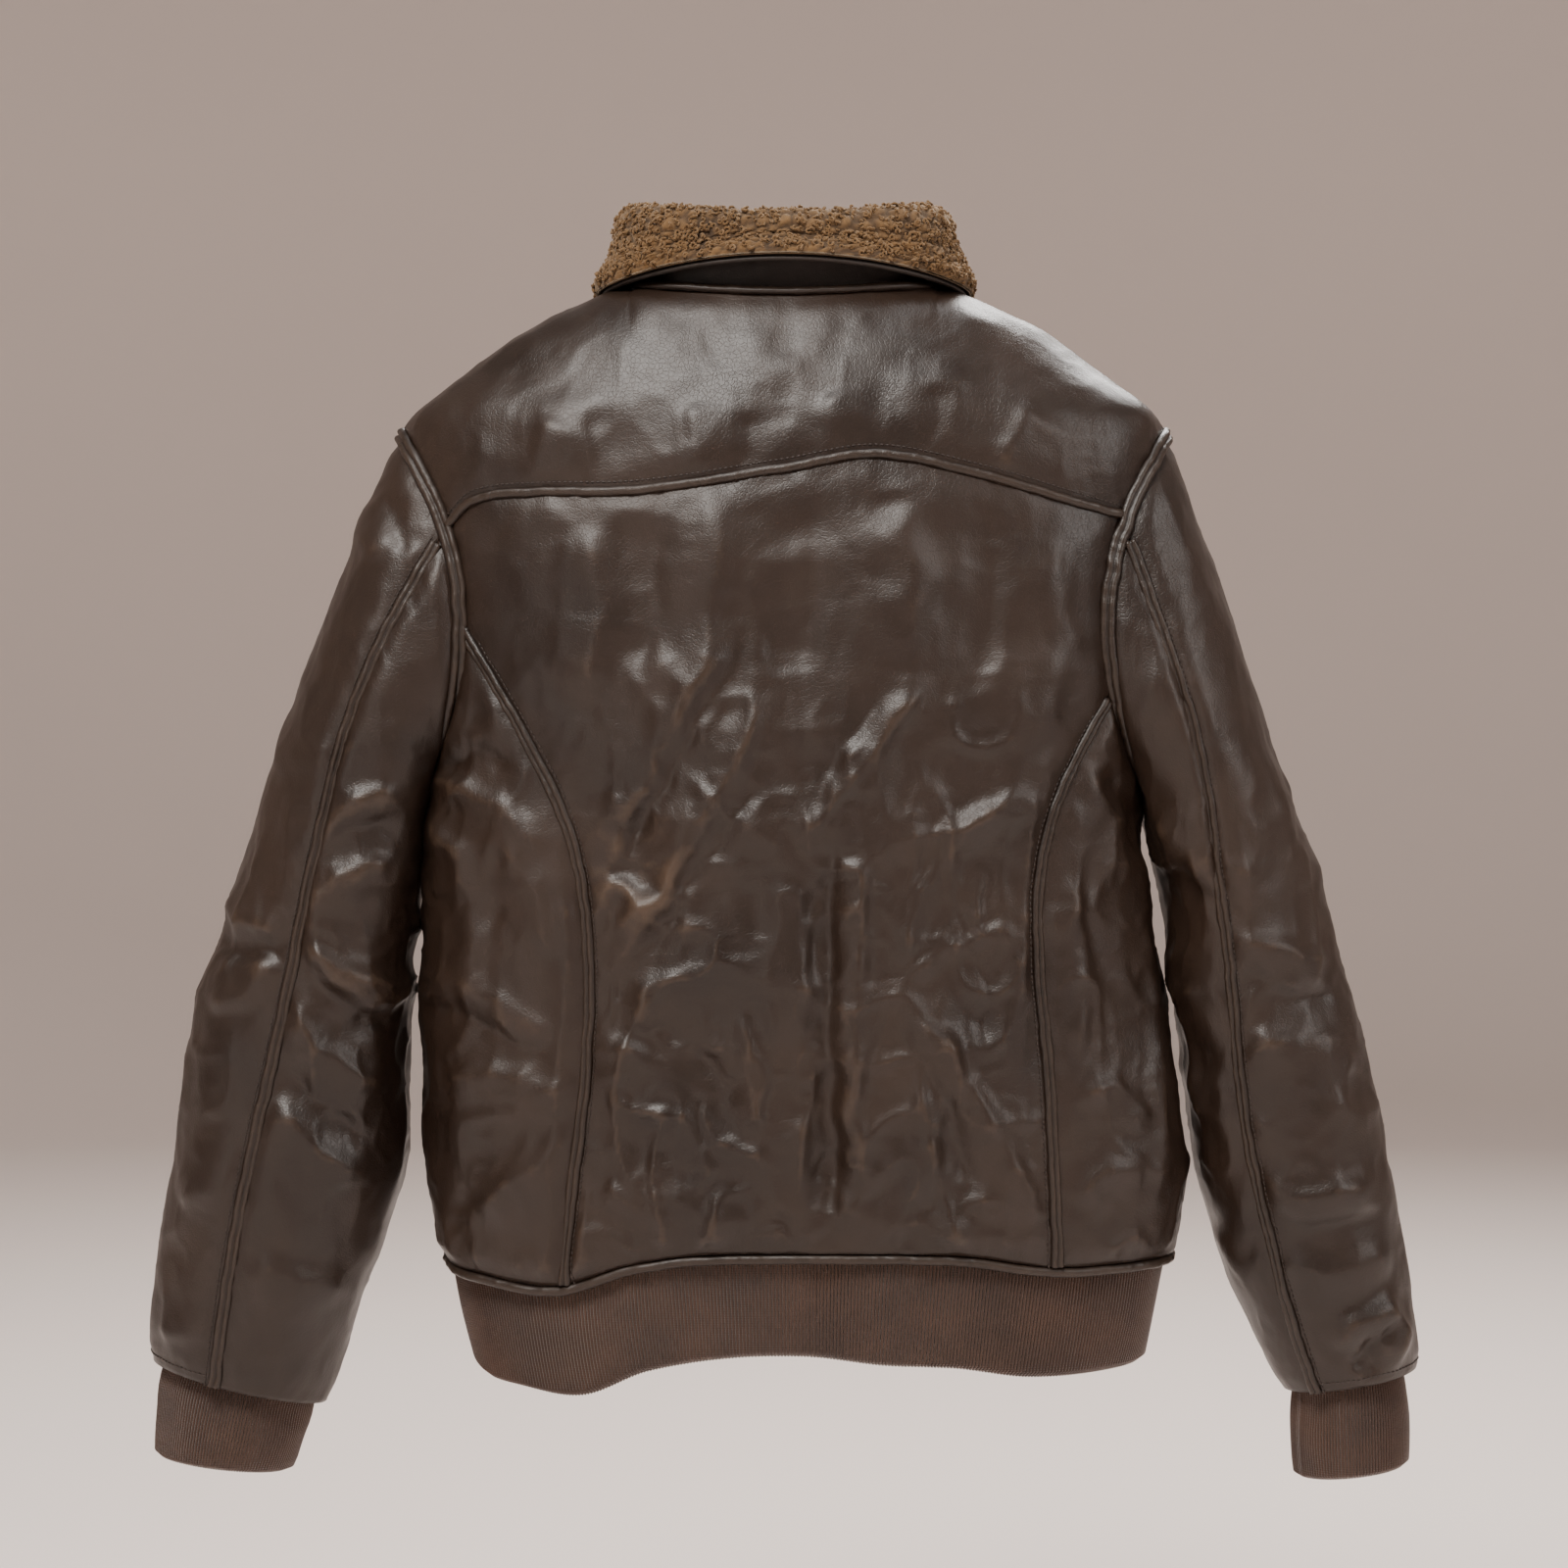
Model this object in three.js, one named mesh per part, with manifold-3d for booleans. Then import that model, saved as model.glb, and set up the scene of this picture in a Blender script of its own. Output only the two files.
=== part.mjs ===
// A padded leather riding jacket with a pile collar, a knitted waistband and knitted cuffs, as it hangs with
// the zip closed. Millimetres, +Z up, +Y out of the jacket's front, +X to the wearer's right. The origin is
// in the middle of the neck opening, level with the inner ends of the shoulder seams, where a hanger stands.
import * as THREE from "three";
import Module from "manifold-3d";
import { mergeVertices } from "three/addons/utils/BufferGeometryUtils.js";

const wasm = await Module();
wasm.setup();

// ---- Driving dimensions ----
const neckHalfWidth = 90; // at the neck seam
const neckSeamBack = -6; // height of the neck seam at the centre back
const neckSeamFront = -72; // and at the zip
const shoulderEase = 16; // the shoulder's end stands this far outside the armpit
const shoulderDrop = 86; // from the neck to the sleeve seam
const armholeDepth = 219; // from the shoulder's end to the armpit
const armholeBow = 35; // how far the armhole seam swings in towards the spine
const frontSeamOut = 3.5; // the front side seam meets the armhole this far outside its innermost point
const chestHalfWidth = 224;
const waistEase = 13; // each side, the waist is this much wider than the chest
const hemEase = 7;
const hemLevel = -600; // bottom of the leather shell
const hemSway = 16; // the body hangs this far to the wearer's right at the hem
const chestDepthBack = 108;
const frontDepthTop = 80; // the front is straight along the zip, from this depth at the neck
const frontDepthBottom = 94; // to this one at the waistband
const frontRoundIn = 36; // the front leans back this far from the zip's top to the top of the neck
const sectionPower = 2.35; // squareness of the body's section
const waistbandHeight = 66;
const waistbandTuck = 9; // how far the knitted band runs up inside the shell
const waistbandGather = 10; // how far the band draws in at its lower edge
const shellWall = 6; // leather with its bonded wadding
const liningWall = 1.5;
const ribWall = 5;
const seamGap = 1.4; // between neighbouring panels
const layerGap = 0.8; // between one layer and the next
const pipingRadius = 3;
const collarTuck = 5; // how far the collar's stand runs down inside the neck seam
const standBack = 40; // height of the collar's stand at the centre back
const standFront = 28; // and at its front ends
const foldRadius = 8;
const collarLeather = 2;
const pileWall = 8;
const leafEdgeBack = 13; // height of the leaf's edge at the centre back
const leafReach = 30; // how far out from the neck seam it stands there
const leafPointLevel = -112; // height of the leaf's front points
const leafPointSpread = 62; // and their distance from the zip
const leafClear = 9; // the leaf lies this far above the fronts
const standShare = 0.3; // shares of the collar's section given to its stand and its fold
const foldShare = 0.28;
const sleeveTube = 72; // half the sleeve's depth at the upper arm
const elbowTube = 64;
const sleeveEndTube = 47;
const sleeveForward = 18; // how far the sleeve's end hangs forward
const headShare = 0.26; // the armhole's own shape fades out over this share of the sleeve
const cuffTuck = 9;
const cuffWall = 5;
const tabWidth = 62; // leather tab at each end of the waistband
const zipTapeWidth = 16;
const zipTapeWall = 1;
const toothReach = 3.6; // half the width of the closed teeth
const toothWall = 3;
const toothSplit = 0.8; // half the space between the two rows, where the slider's post runs
const windFlapWidth = 32;
const windFlapWall = 1.4;
const sliderWidth = 12.5;
const sliderLength = 17;
const sliderPlate = 1.6;
const pullerLength = 40;
const pullerWidth = 8;
const pullerWall = 1.6;
const pocketWidth = 128;
const pocketHeight = 132;
const pocketDepth = 22; // from the panel's face at its edges
const pocketWall = 3;
const pocketBottom = -572;
const pocketCentre = 124; // from the zip
const flapHeight = 62;
const flapWall = 3.2;
const flapOverhang = 4;
const flapRise = 13; // the flap is hinged this far above the pouch's mouth
const snapRadius = 7.5;
const loopWidth = 58; // hanging loop inside the neck
const labelWidth = 52;
const labelHeight = 28;
const labelWall = 0.8;

// ---- Colours ----
const leatherBrown = 0x3b291e;
const pileBrown = 0x45300f;
const ribBrown = 0x39231a;
const liningBrown = 0x2a1c15;
const brassDark = 0x6d5a3a;
const tapeBrown = 0x241812;

function finish(color, roughness, metalness = 0) {
  return new THREE.MeshStandardMaterial({ color, roughness, metalness });
}
const leather = () => finish(leatherBrown, 0.42);
const pile = () => finish(pileBrown, 0.95);
const rib = () => finish(ribBrown, 0.9);
const lining = () => finish(liningBrown, 0.6);
const metal = () => finish(brassDark, 0.35, 1);
const tape = () => finish(tapeBrown, 0.85);

const jacket = new THREE.Group();

// ---- Small mathematics ----
const lerp = THREE.MathUtils.lerp;
const clamp = THREE.MathUtils.clamp;
const smooth = (x, from, to) => THREE.MathUtils.smoothstep(x, from, to);

// A smooth function through stations [key, value, ...], whose keys run upwards or downwards.
function through(stations, column = 1) {
  const rows = [...stations].sort((a, b) => a[0] - b[0]);
  const key = rows.map((r) => r[0]);
  const value = rows.map((r) => r[column]);
  const last = rows.length - 1;
  const slope = key.map((_, i) => {
    const a = Math.max(0, i - 1);
    const b = Math.min(last, i + 1);
    return (value[b] - value[a]) / (key[b] - key[a]);
  });
  return (at) => {
    if (at <= key[0]) return value[0] + slope[0] * (at - key[0]);
    if (at >= key[last]) return value[last] + slope[last] * (at - key[last]);
    let i = 0;
    while (at > key[i + 1]) i += 1;
    const span = key[i + 1] - key[i];
    const t = (at - key[i]) / span;
    const t2 = t * t;
    const t3 = t2 * t;
    const ends = (2 * t3 - 3 * t2 + 1) * value[i] + (3 * t2 - 2 * t3) * value[i + 1];
    return ends + span * ((t3 - 2 * t2 + t) * slope[i] + (t3 - t2) * slope[i + 1]);
  };
}

// ---- The body's surface ----
const shoulderLevel = -shoulderDrop;
const armpitLevel = shoulderLevel - armholeDepth;
const shoulderHalfWidth = chestHalfWidth + shoulderEase;
const waistHalfWidth = chestHalfWidth + waistEase;
const hemHalfWidth = chestHalfWidth + hemEase;
const bandBottom = hemLevel - waistbandHeight;
const neckTop = 8;

const halfWidth = through([
  [neckTop, neckHalfWidth - 4],
  [0, neckHalfWidth + 16],
  [shoulderLevel * 0.28, lerp(neckHalfWidth, shoulderHalfWidth, 0.47)],
  [shoulderLevel * 0.63, lerp(neckHalfWidth, shoulderHalfWidth, 0.75)],
  [shoulderLevel, shoulderHalfWidth],
  [lerp(shoulderLevel, armpitLevel, 0.35), shoulderHalfWidth - 4],
  [lerp(shoulderLevel, armpitLevel, 0.7), lerp(shoulderHalfWidth, chestHalfWidth, 0.6)],
  [armpitLevel, chestHalfWidth],
  [lerp(armpitLevel, hemLevel, 0.35), chestHalfWidth + 4],
  [lerp(armpitLevel, hemLevel, 0.75), waistHalfWidth],
  [hemLevel, hemHalfWidth],
  [bandBottom, hemHalfWidth - 4],
]);
const backDepth = through([
  [neckTop, chestDepthBack * 0.55],
  [shoulderLevel * 0.28, chestDepthBack * 0.7],
  [shoulderLevel, chestDepthBack * 0.89],
  [lerp(shoulderLevel, armpitLevel, 0.4), chestDepthBack * 0.98],
  [armpitLevel, chestDepthBack],
  [hemLevel, chestDepthBack * 0.86],
  [bandBottom, chestDepthBack * 0.84],
]);
// The front keeps to one straight line at the zip, and rounds in only above the zip's top.
const zipSlope = (frontDepthBottom - frontDepthTop) / (neckSeamFront - bandBottom);
const zipLine = (z) => frontDepthTop + (neckSeamFront - z) * zipSlope;
function frontDepth(z) {
  const above = clamp((z - neckSeamFront) / (neckTop - neckSeamFront), 0, 1);
  return zipLine(z) - frontRoundIn * Math.pow(above, 1.6);
}
const sway = (z) => hemSway * smooth(-z, 350, -hemLevel);

// A point of the body at an angle from +X (front is 90 degrees, back 270) and a height.
function bodyAt(angle, z, inset = 0) {
  const c = Math.cos(angle);
  const s = Math.sin(angle);
  const reach = 2 / sectionPower;
  const depth = s > 0 ? frontDepth(z) : backDepth(z);
  // The zip's line stays put while the sides sway.
  const follow = 1 - Math.pow(Math.max(s, 0), 12);
  const x = Math.sign(c) * Math.pow(Math.abs(c), reach) * (halfWidth(z) - inset);
  const y = Math.sign(s) * Math.pow(Math.abs(s), reach) * (depth - inset);
  return new THREE.Vector3(x + sway(z) * follow, y, z);
}
// The angle at which the body's back (side -1) or front (side +1) has a given x.
function angleOf(x, z, side) {
  let near = 0;
  let far = Math.PI;
  for (let n = 0; n < 40; n += 1) {
    const middle = (near + far) / 2;
    if (bodyAt(side * middle, z).x > x) near = middle;
    else far = middle;
  }
  return side > 0 ? near : 2 * Math.PI - near;
}

// ---- The armhole: a closed curve on the body's side, from the shoulder's end to the armpit and back ----
const armholeMiddle = (shoulderLevel + armpitLevel) / 2;
const armholeHalf = armholeDepth / 2;
// x of the armhole seam at a height, on one side of the body (-1 left, +1 right).
function armholeX(z, side) {
  const share = clamp((z - armholeMiddle) / armholeHalf, -1, 1);
  const edge = lerp(chestHalfWidth, shoulderHalfWidth, (share + 1) / 2);
  return side * (edge - armholeBow * (1 - share * share));
}

// ---- Seam lines of the back ----
// The princess seams, as [height, how far nearer the spine than the armhole's innermost point].
const armholeInmost = (chestHalfWidth + shoulderHalfWidth) / 2 - armholeBow;
const princess = (side, rows) => through(rows.map(([z, inside]) => [z, side * (armholeInmost - inside)]));
const leftPrincess = princess(-1, [
  [-215, 1], [-271, 35], [-338, 67], [-400, 78], [-480, 77], [-553, 68], [-615, 63],
]);
const rightPrincess = princess(1, [
  [-262, 1], [-290, 17], [-325, 33], [-369, 42], [-418, 42], [-480, 36], [-615, 29],
]);
// The yoke's seam, as [x, height].
const yokeSeam = through([
  [-210, -152], [-190, -134], [-150, -130], [-90, -130], [0, -117],
  [55, -108], [120, -120], [180, -136], [225, -146],
]);
// Height of the shell's lower edge, which waves a little across the back.
const hemWave = through([
  [-240, -4], [-190, -9], [-140, -14], [-95, 0], [-50, 7], [30, 8], [110, 6], [165, -2], [240, -1],
]);
const hemAt = (x, y) => hemLevel + (y < 0 ? hemWave(x) * smooth(-y, 0, 40) : 0);

// ---- Solids made from surfaces ----
// A closed plate between surface(u, v) and the same surface moved inwards by wall, for u and v from 0 to 1.
// start is how far inwards its outer face already lies. With ring true, u runs all the way round.
function plate(surface, nu, nv, start, wall, { ring = false, flip = false } = {}) {
  const step = 0.01;
  const at = (u, v) => surface(ring ? u : clamp(u, 0, 1), clamp(v, 0, 1));
  const inward = (u, v) => {
    const du = at(u + step, v).sub(at(u - step, v));
    const dv = at(u, v + step).sub(at(u, v - step));
    return du.cross(dv).normalize().multiplyScalar(flip ? 1 : -1);
  };
  const columns = ring ? nu : nu + 1;
  const position = [];
  for (const depth of [start, start + wall]) {
    for (let j = 0; j <= nv; j += 1) {
      for (let i = 0; i < columns; i += 1) {
        const u = i / nu;
        const v = j / nv;
        const p = at(u, v).addScaledVector(inward(u, v), depth);
        position.push(p.x, p.y, p.z);
      }
    }
  }
  const layer = columns * (nv + 1);
  const id = (i, j, k) => k * layer + j * columns + (ring ? i % nu : i);
  const index = [];
  const quad = (a, b, c, d) => (flip ? index.push(a, c, b, a, d, c) : index.push(a, b, c, a, c, d));
  for (let j = 0; j < nv; j += 1) {
    for (let i = 0; i < nu; i += 1) {
      quad(id(i, j, 0), id(i + 1, j, 0), id(i + 1, j + 1, 0), id(i, j + 1, 0));
      quad(id(i, j, 1), id(i, j + 1, 1), id(i + 1, j + 1, 1), id(i + 1, j, 1));
    }
    if (!ring) {
      quad(id(0, j, 0), id(0, j + 1, 0), id(0, j + 1, 1), id(0, j, 1));
      quad(id(nu, j, 0), id(nu, j, 1), id(nu, j + 1, 1), id(nu, j + 1, 0));
    }
  }
  for (let i = 0; i < nu; i += 1) {
    quad(id(i, 0, 0), id(i, 0, 1), id(i + 1, 0, 1), id(i + 1, 0, 0));
    quad(id(i, nv, 0), id(i + 1, nv, 0), id(i + 1, nv, 1), id(i, nv, 1));
  }
  const geometry = new THREE.BufferGeometry();
  geometry.setAttribute("position", new THREE.Float32BufferAttribute(position, 3));
  geometry.setIndex(index);
  return geometry;
}

function solidOf(geometry) {
  const bare = geometry.clone();
  bare.deleteAttribute("normal");
  bare.deleteAttribute("uv");
  const merged = mergeVertices(bare, 1e-4);
  const triVerts = new Uint32Array(merged.index.array);
  const vertProperties = merged.attributes.position.array;
  return new wasm.Manifold(new wasm.Mesh({ numProp: 3, vertProperties, triVerts }));
}
function geometryOf(solid) {
  const mesh = solid.getMesh();
  const geometry = new THREE.BufferGeometry();
  geometry.setAttribute("position", new THREE.BufferAttribute(mesh.vertProperties, 3));
  geometry.setIndex(new THREE.BufferAttribute(mesh.triVerts, 1));
  return geometry;
}
function cut(from, ...tools) {
  return geometryOf(tools.reduce((rest, tool) => rest.subtract(solidOf(tool)), solidOf(from)));
}
function join(first, ...others) {
  return geometryOf(others.reduce((whole, piece) => whole.add(solidOf(piece)), solidOf(first)));
}

function add(name, geometry, material, parent = jacket) {
  const mesh = new THREE.Mesh(geometry, material);
  mesh.name = name;
  parent.add(mesh);
  return mesh;
}
const box = (w, d, h, x = 0, y = 0, z = 0) => new THREE.BoxGeometry(w, d, h).translate(x, y, z);

// ---- Body panels ----
const half = seamGap / 2;

// x of the outer edge of a back or front panel at a height.
const outerEdge = (z, side) => armholeX(Math.min(z, shoulderLevel), side);
// Height of the shoulder ridge at a given |x|.
function ridgeLevel(x) {
  let low = shoulderLevel;
  let high = neckTop;
  for (let n = 0; n < 40; n += 1) {
    const middle = (low + high) / 2;
    if (halfWidth(middle) > Math.abs(x)) low = middle;
    else high = middle;
  }
  return low;
}
// Just below the ridge, where the two sides of the shoulder seam are seamGap apart.
const seamShare = Math.pow(half / (0.6 * backDepth(0)), sectionPower) / sectionPower;
const seamLevel = (x) => ridgeLevel(Math.abs(x) * (1 + seamShare));
// Inside this |x| the panels end at the neck seam, and outside it at the ridge.
const neckEdge = neckHalfWidth + 6;
function neckLevel(x, side) {
  const share = clamp(Math.abs(x) / neckEdge, 0, 1);
  const middle = side < 0 ? neckSeamBack : neckSeamFront;
  return lerp(middle, seamLevel(neckEdge), Math.pow(share, side < 0 ? 2 : 1.4));
}
const panelTop = (x, side) => (Math.abs(x) < neckEdge ? neckLevel(x, side) : seamLevel(x)) + half;

// A point of the back (-1) or front (+1) at x and z.
const facePoint = (x, z, side) => bodyAt(angleOf(x, z, side), z);

// A panel between left(z) and right(z), from bottom(x) up to top(x). Its rows gather towards the shoulder
// ridge, and its columns towards the edges named by crowd: -1 the left one, 1 the right one, 0 both.
function panel(side, left, right, bottom, top, nu, nv, options = {}) {
  const { crowd = 0, gather = 1, start = 0, wall = shellWall } = options;
  const spread = (u) => {
    if (crowd < 0) return Math.pow(u, 1.25);
    if (crowd > 0) return 1 - Math.pow(1 - u, 1.25);
    return u - (0.6 / (2 * Math.PI)) * Math.sin(2 * Math.PI * u);
  };
  const surface = (u, v) => {
    const share = 1 - Math.pow(1 - v, gather);
    let x = 0;
    let z = (bottom(0) + top(0)) / 2;
    for (let n = 0; n < 16; n += 1) {
      x = lerp(left(z) + half, right(z) - half, spread(u));
      z = lerp(bottom(x) + half, top(x) - half, share);
    }
    return facePoint(x, z, side);
  };
  return plate(surface, nu, nv, start, wall, { flip: side > 0 });
}

const hemBack = (x) => hemAt(x, -50);
const yokeLeft = (z) => outerEdge(z, -1);
const yokeRight = (z) => outerEdge(z, 1);
const backTop = (x) => panelTop(x, -1);
add("back_yoke", panel(-1, yokeLeft, yokeRight, yokeSeam, backTop, 22, 7, { gather: 3 }), leather());
const leftEdge = (z) => Math.max(leftPrincess(z), armholeX(z, -1));
const rightEdge = (z) => Math.min(rightPrincess(z), armholeX(z, 1));
add("back_panel", panel(-1, leftEdge, rightEdge, hemBack, yokeSeam, 14, 13), leather());

// The side panels run from the princess seam round to the front side seam, up to the armhole.
const frontSideShare = (armholeInmost + frontSeamOut) / halfWidth(armholeMiddle);
const frontSideX = (z, side) => side * frontSideShare * halfWidth(z);
function inArmhole(point, side) {
  if (point.z > shoulderLevel || point.z < armpitLevel) return false;
  return side * point.x > Math.abs(armholeX(point.z, side));
}
function sidePanel(side) {
  const princess = side < 0 ? leftPrincess : rightPrincess;
  const surface = (u, v) => {
    const angleAt = (z) => {
      const backAngle = angleOf(princess(z), z, -1);
      const frontAngle = angleOf(frontSideX(z, side), z, 1);
      const trim = half / 150;
      // The left side runs from the front seam on to the back one, and the right side the other way.
      if (side < 0) return lerp(frontAngle + trim, backAngle - trim, u);
      return lerp(backAngle + trim, frontAngle + 2 * Math.PI - trim, u);
    };
    let top = armpitLevel;
    while (top < shoulderLevel && !inArmhole(bodyAt(angleAt(top), top), side)) top += 0.5;
    const low = bodyAt(angleAt(hemLevel), hemLevel);
    const bottom = hemAt(low.x, low.y);
    const z = lerp(bottom + half, top - 2 * seamGap, v);
    return bodyAt(angleAt(z), z);
  };
  return plate(surface, 8, 9, 0, shellWall);
}
add("side_panel_left", sidePanel(-1), leather());
add("side_panel_right", sidePanel(1), leather());

// The fronts stop either side of the zip's teeth.
const frontGap = toothReach + 2.4;
const frontTop = (x) => panelTop(x, 1);
function frontPanel(side) {
  const inner = () => side * frontGap;
  const outer = (z) => {
    const seam = side * frontSideX(z, side);
    const edge = side * outerEdge(Math.max(z, armpitLevel), side);
    return side * (z > armholeMiddle ? edge : Math.min(seam, edge));
  };
  const [left, right] = side < 0 ? [outer, inner] : [inner, outer];
  return panel(1, left, right, () => hemLevel, frontTop, 11, 13, { crowd: side, gather: 3 });
}
add("front_panel_left", frontPanel(-1), leather());
add("front_panel_right", frontPanel(1), leather());

// ---- Lining: a back and two fronts, clear of the zip's tapes ----
const liningStart = shellWall + 2.5 * layerGap;
const liningHem = hemLevel + waistbandTuck + 12;
const liningFrontEdge = zipTapeWidth + 6;
function liningSheet(side, left, right, top, crowd) {
  const bottom = () => liningHem;
  // It stops below the collar's stand, and short of the shoulder ridge where the shell's sides meet.
  const lowered = (x) => top(x) - lerp(collarTuck + 4, 3, smooth(Math.abs(x), 70, 120));
  const slack = side > 0 ? 2.5 * layerGap : 0; // the front lining hangs a little looser
  const layer = { crowd, gather: 3, start: liningStart + slack, wall: liningWall };
  return panel(side, left, right, bottom, lowered, side < 0 ? 14 : 11, 13, layer);
}
const liningOuter = (z, side) => {
  if (z > armpitLevel) return armholeX(Math.min(z, shoulderLevel - 12), side) - side * 1.5;
  return side * (halfWidth(z) - 0.6) + sway(z);
};
const backSheet = liningSheet(-1, (z) => liningOuter(z, -1), (z) => liningOuter(z, 1), backTop, 0);
add("lining_back", backSheet, lining());
add("lining_front_left",
  liningSheet(1, (z) => liningOuter(z, -1), () => -liningFrontEdge, frontTop, -1), lining());
add("lining_front_right",
  liningSheet(1, () => liningFrontEdge, (z) => liningOuter(z, 1), frontTop, 1), lining());

// ---- Hem piping, waistband and its leather tabs ----
const tabAngle = (z) => angleOf(tabWidth + frontGap, z, 1);
const ringAngle = (u, z, trim) => lerp(Math.PI - tabAngle(z) + trim, 2 * Math.PI + tabAngle(z) - trim, u);
function hemPiping() {
  const zipAngle = angleOf(frontGap + 1.5, hemLevel, 1);
  const surface = (u, v) => {
    const angle = lerp(Math.PI - zipAngle, 2 * Math.PI + zipAngle, u);
    const on = bodyAt(angle, hemLevel, pipingRadius + 0.3);
    const turn = 2 * Math.PI * v;
    const level = hemAt(on.x, on.y) - pipingRadius - layerGap;
    const away = bodyAt(angle, hemLevel, pipingRadius + 0.3 - pipingRadius * Math.cos(turn));
    return new THREE.Vector3(away.x, away.y, level + pipingRadius * Math.sin(turn));
  };
  return sweptRing(surface, 52, 6);
}
// A closed bar swept along u, with v running round its section.
function sweptRing(surface, nu, nv) {
  const position = [];
  for (let i = 0; i <= nu; i += 1) {
    for (let j = 0; j < nv; j += 1) position.push(...surface(i / nu, j / nv).toArray());
  }
  const index = [];
  const id = (i, j) => i * nv + (j % nv);
  for (let i = 0; i < nu; i += 1) {
    for (let j = 0; j < nv; j += 1) {
      index.push(id(i, j), id(i + 1, j), id(i + 1, j + 1), id(i, j), id(i + 1, j + 1), id(i, j + 1));
    }
  }
  for (let j = 1; j < nv - 1; j += 1) {
    index.push(id(0, 0), id(0, j), id(0, j + 1));
    index.push(id(nu, 0), id(nu, j + 1), id(nu, j));
  }
  const geometry = new THREE.BufferGeometry();
  geometry.setAttribute("position", new THREE.Float32BufferAttribute(position, 3));
  geometry.setIndex(index);
  return geometry;
}
add("hem_piping", hemPiping(), leather());

const bandInset = (v) => shellWall + 1.5 * layerGap + waistbandGather * (1 - v);
function bandSurface(angleAt) {
  return (u, v) => {
    const low = bodyAt(angleAt(u, hemLevel), hemLevel);
    const wave = hemAt(low.x, low.y) - hemLevel;
    const z = lerp(bandBottom, hemLevel + waistbandTuck, v) + wave;
    return bodyAt(angleAt(u, hemLevel), z, bandInset(v));
  };
}
add("waistband_rib", plate(bandSurface((u, z) => ringAngle(u, z, 0)), 40, 3, 0, ribWall), rib());
// The tabs lie over the band's ends, in line with the fronts.
const tabTop = hemLevel - 2 * pipingRadius - 2 * layerGap;
function waistTab(side) {
  const surface = (u, v) => {
    const z = lerp(bandBottom, tabTop, v);
    const x = lerp(frontGap + 1, tabWidth + frontGap + 7, side < 0 ? u : 1 - u);
    return facePoint(side * x, z, 1);
  };
  return plate(surface, 4, 2, 0.5, shellWall - 1);
}
add("waist_tab_left", waistTab(-1), leather());
add("waist_tab_right", waistTab(1), leather());

// ---- Collar: stand, leather underside of the leaf, and the pile that folds over both ----
// A place t on the collar runs from 0 at the left front end, round the back, to 1 at the right front end.
// The stand's foot is tucked this far inside the neck seam.
const collarInset = shellWall + collarLeather + 4.5 * layerGap;
function neckSeamAt(x, side) {
  const p = facePoint(x, neckLevel(x, side), side);
  p.y -= side * collarInset;
  p.z -= collarTuck;
  return p;
}
const neckSide = new THREE.Vector3(neckEdge - collarInset - 1, 0, seamLevel(neckEdge) - collarTuck);
const neckFronts = [frontGap + 14, 0.5 * neckHalfWidth, 0.8 * neckHalfWidth];
const neckBacks = [0.78 * neckHalfWidth, 0.42 * neckHalfWidth];
const rightNeck = [
  ...neckFronts.map((x) => neckSeamAt(x, 1)),
  neckSide,
  ...neckBacks.map((x) => neckSeamAt(x, -1)),
];
const neckCurve = new THREE.CatmullRomCurve3([
  ...rightNeck.map((p) => new THREE.Vector3(-p.x, p.y, p.z)),
  neckSeamAt(0, -1),
  ...rightNeck.reverse(),
], false, "centripetal");
const neckPoint = (t) => neckCurve.getPoint(t);
const backness = (t) => 1 - Math.abs(t - 0.5) * 2; // 1 at the centre back, 0 at either front end
// Outward and upward directions at a place on the neck seam.
function neckFrame(t) {
  const step = 0.01;
  const along = neckPoint(Math.min(1, t + step)).sub(neckPoint(Math.max(0, t - step))).normalize();
  const out = new THREE.Vector3().crossVectors(along, new THREE.Vector3(0, 0, 1)).normalize();
  const up = new THREE.Vector3().crossVectors(out, along).normalize();
  return { out, up };
}
// The leaf's edge, as [backness, x, height]: it stands clear at the back and lies on the fronts.
const leafEdge = [
  [0, leafPointSpread, leafPointLevel],
  [0.12, leafPointSpread + 22, leafPointLevel + 16],
  [0.26, neckHalfWidth + 20, leafPointLevel + 54],
  [0.4, neckHalfWidth + 31, -24],
  [0.52, neckHalfWidth + 26, -4],
];
const leafEdgeX = through(leafEdge, 1);
const leafEdgeZ = through(leafEdge, 2);
function leafEdgeAt(t) {
  const b = backness(t);
  const side = t < 0.5 ? -1 : 1;
  const back = 0.52;
  if (b < back) {
    const x = side * leafEdgeX(b);
    const z = leafEdgeZ(b);
    const ridge = ridgeLevel(x);
    const onFront = z < ridge - 1 ? facePoint(x, z, 1).y : 0;
    return new THREE.Vector3(x, onFront + leafClear, z + 4);
  }
  const turn = ((1 - b) / (1 - back)) * (Math.PI / 2);
  const reach = neckPoint(0.5).y - leafReach;
  const z = lerp(leafEdgeBack, leafEdgeZ(back) + 4, Math.pow(Math.sin(turn), 2));
  return new THREE.Vector3(side * leafEdgeX(back) * Math.sin(turn), reach * Math.cos(turn), z);
}
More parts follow.
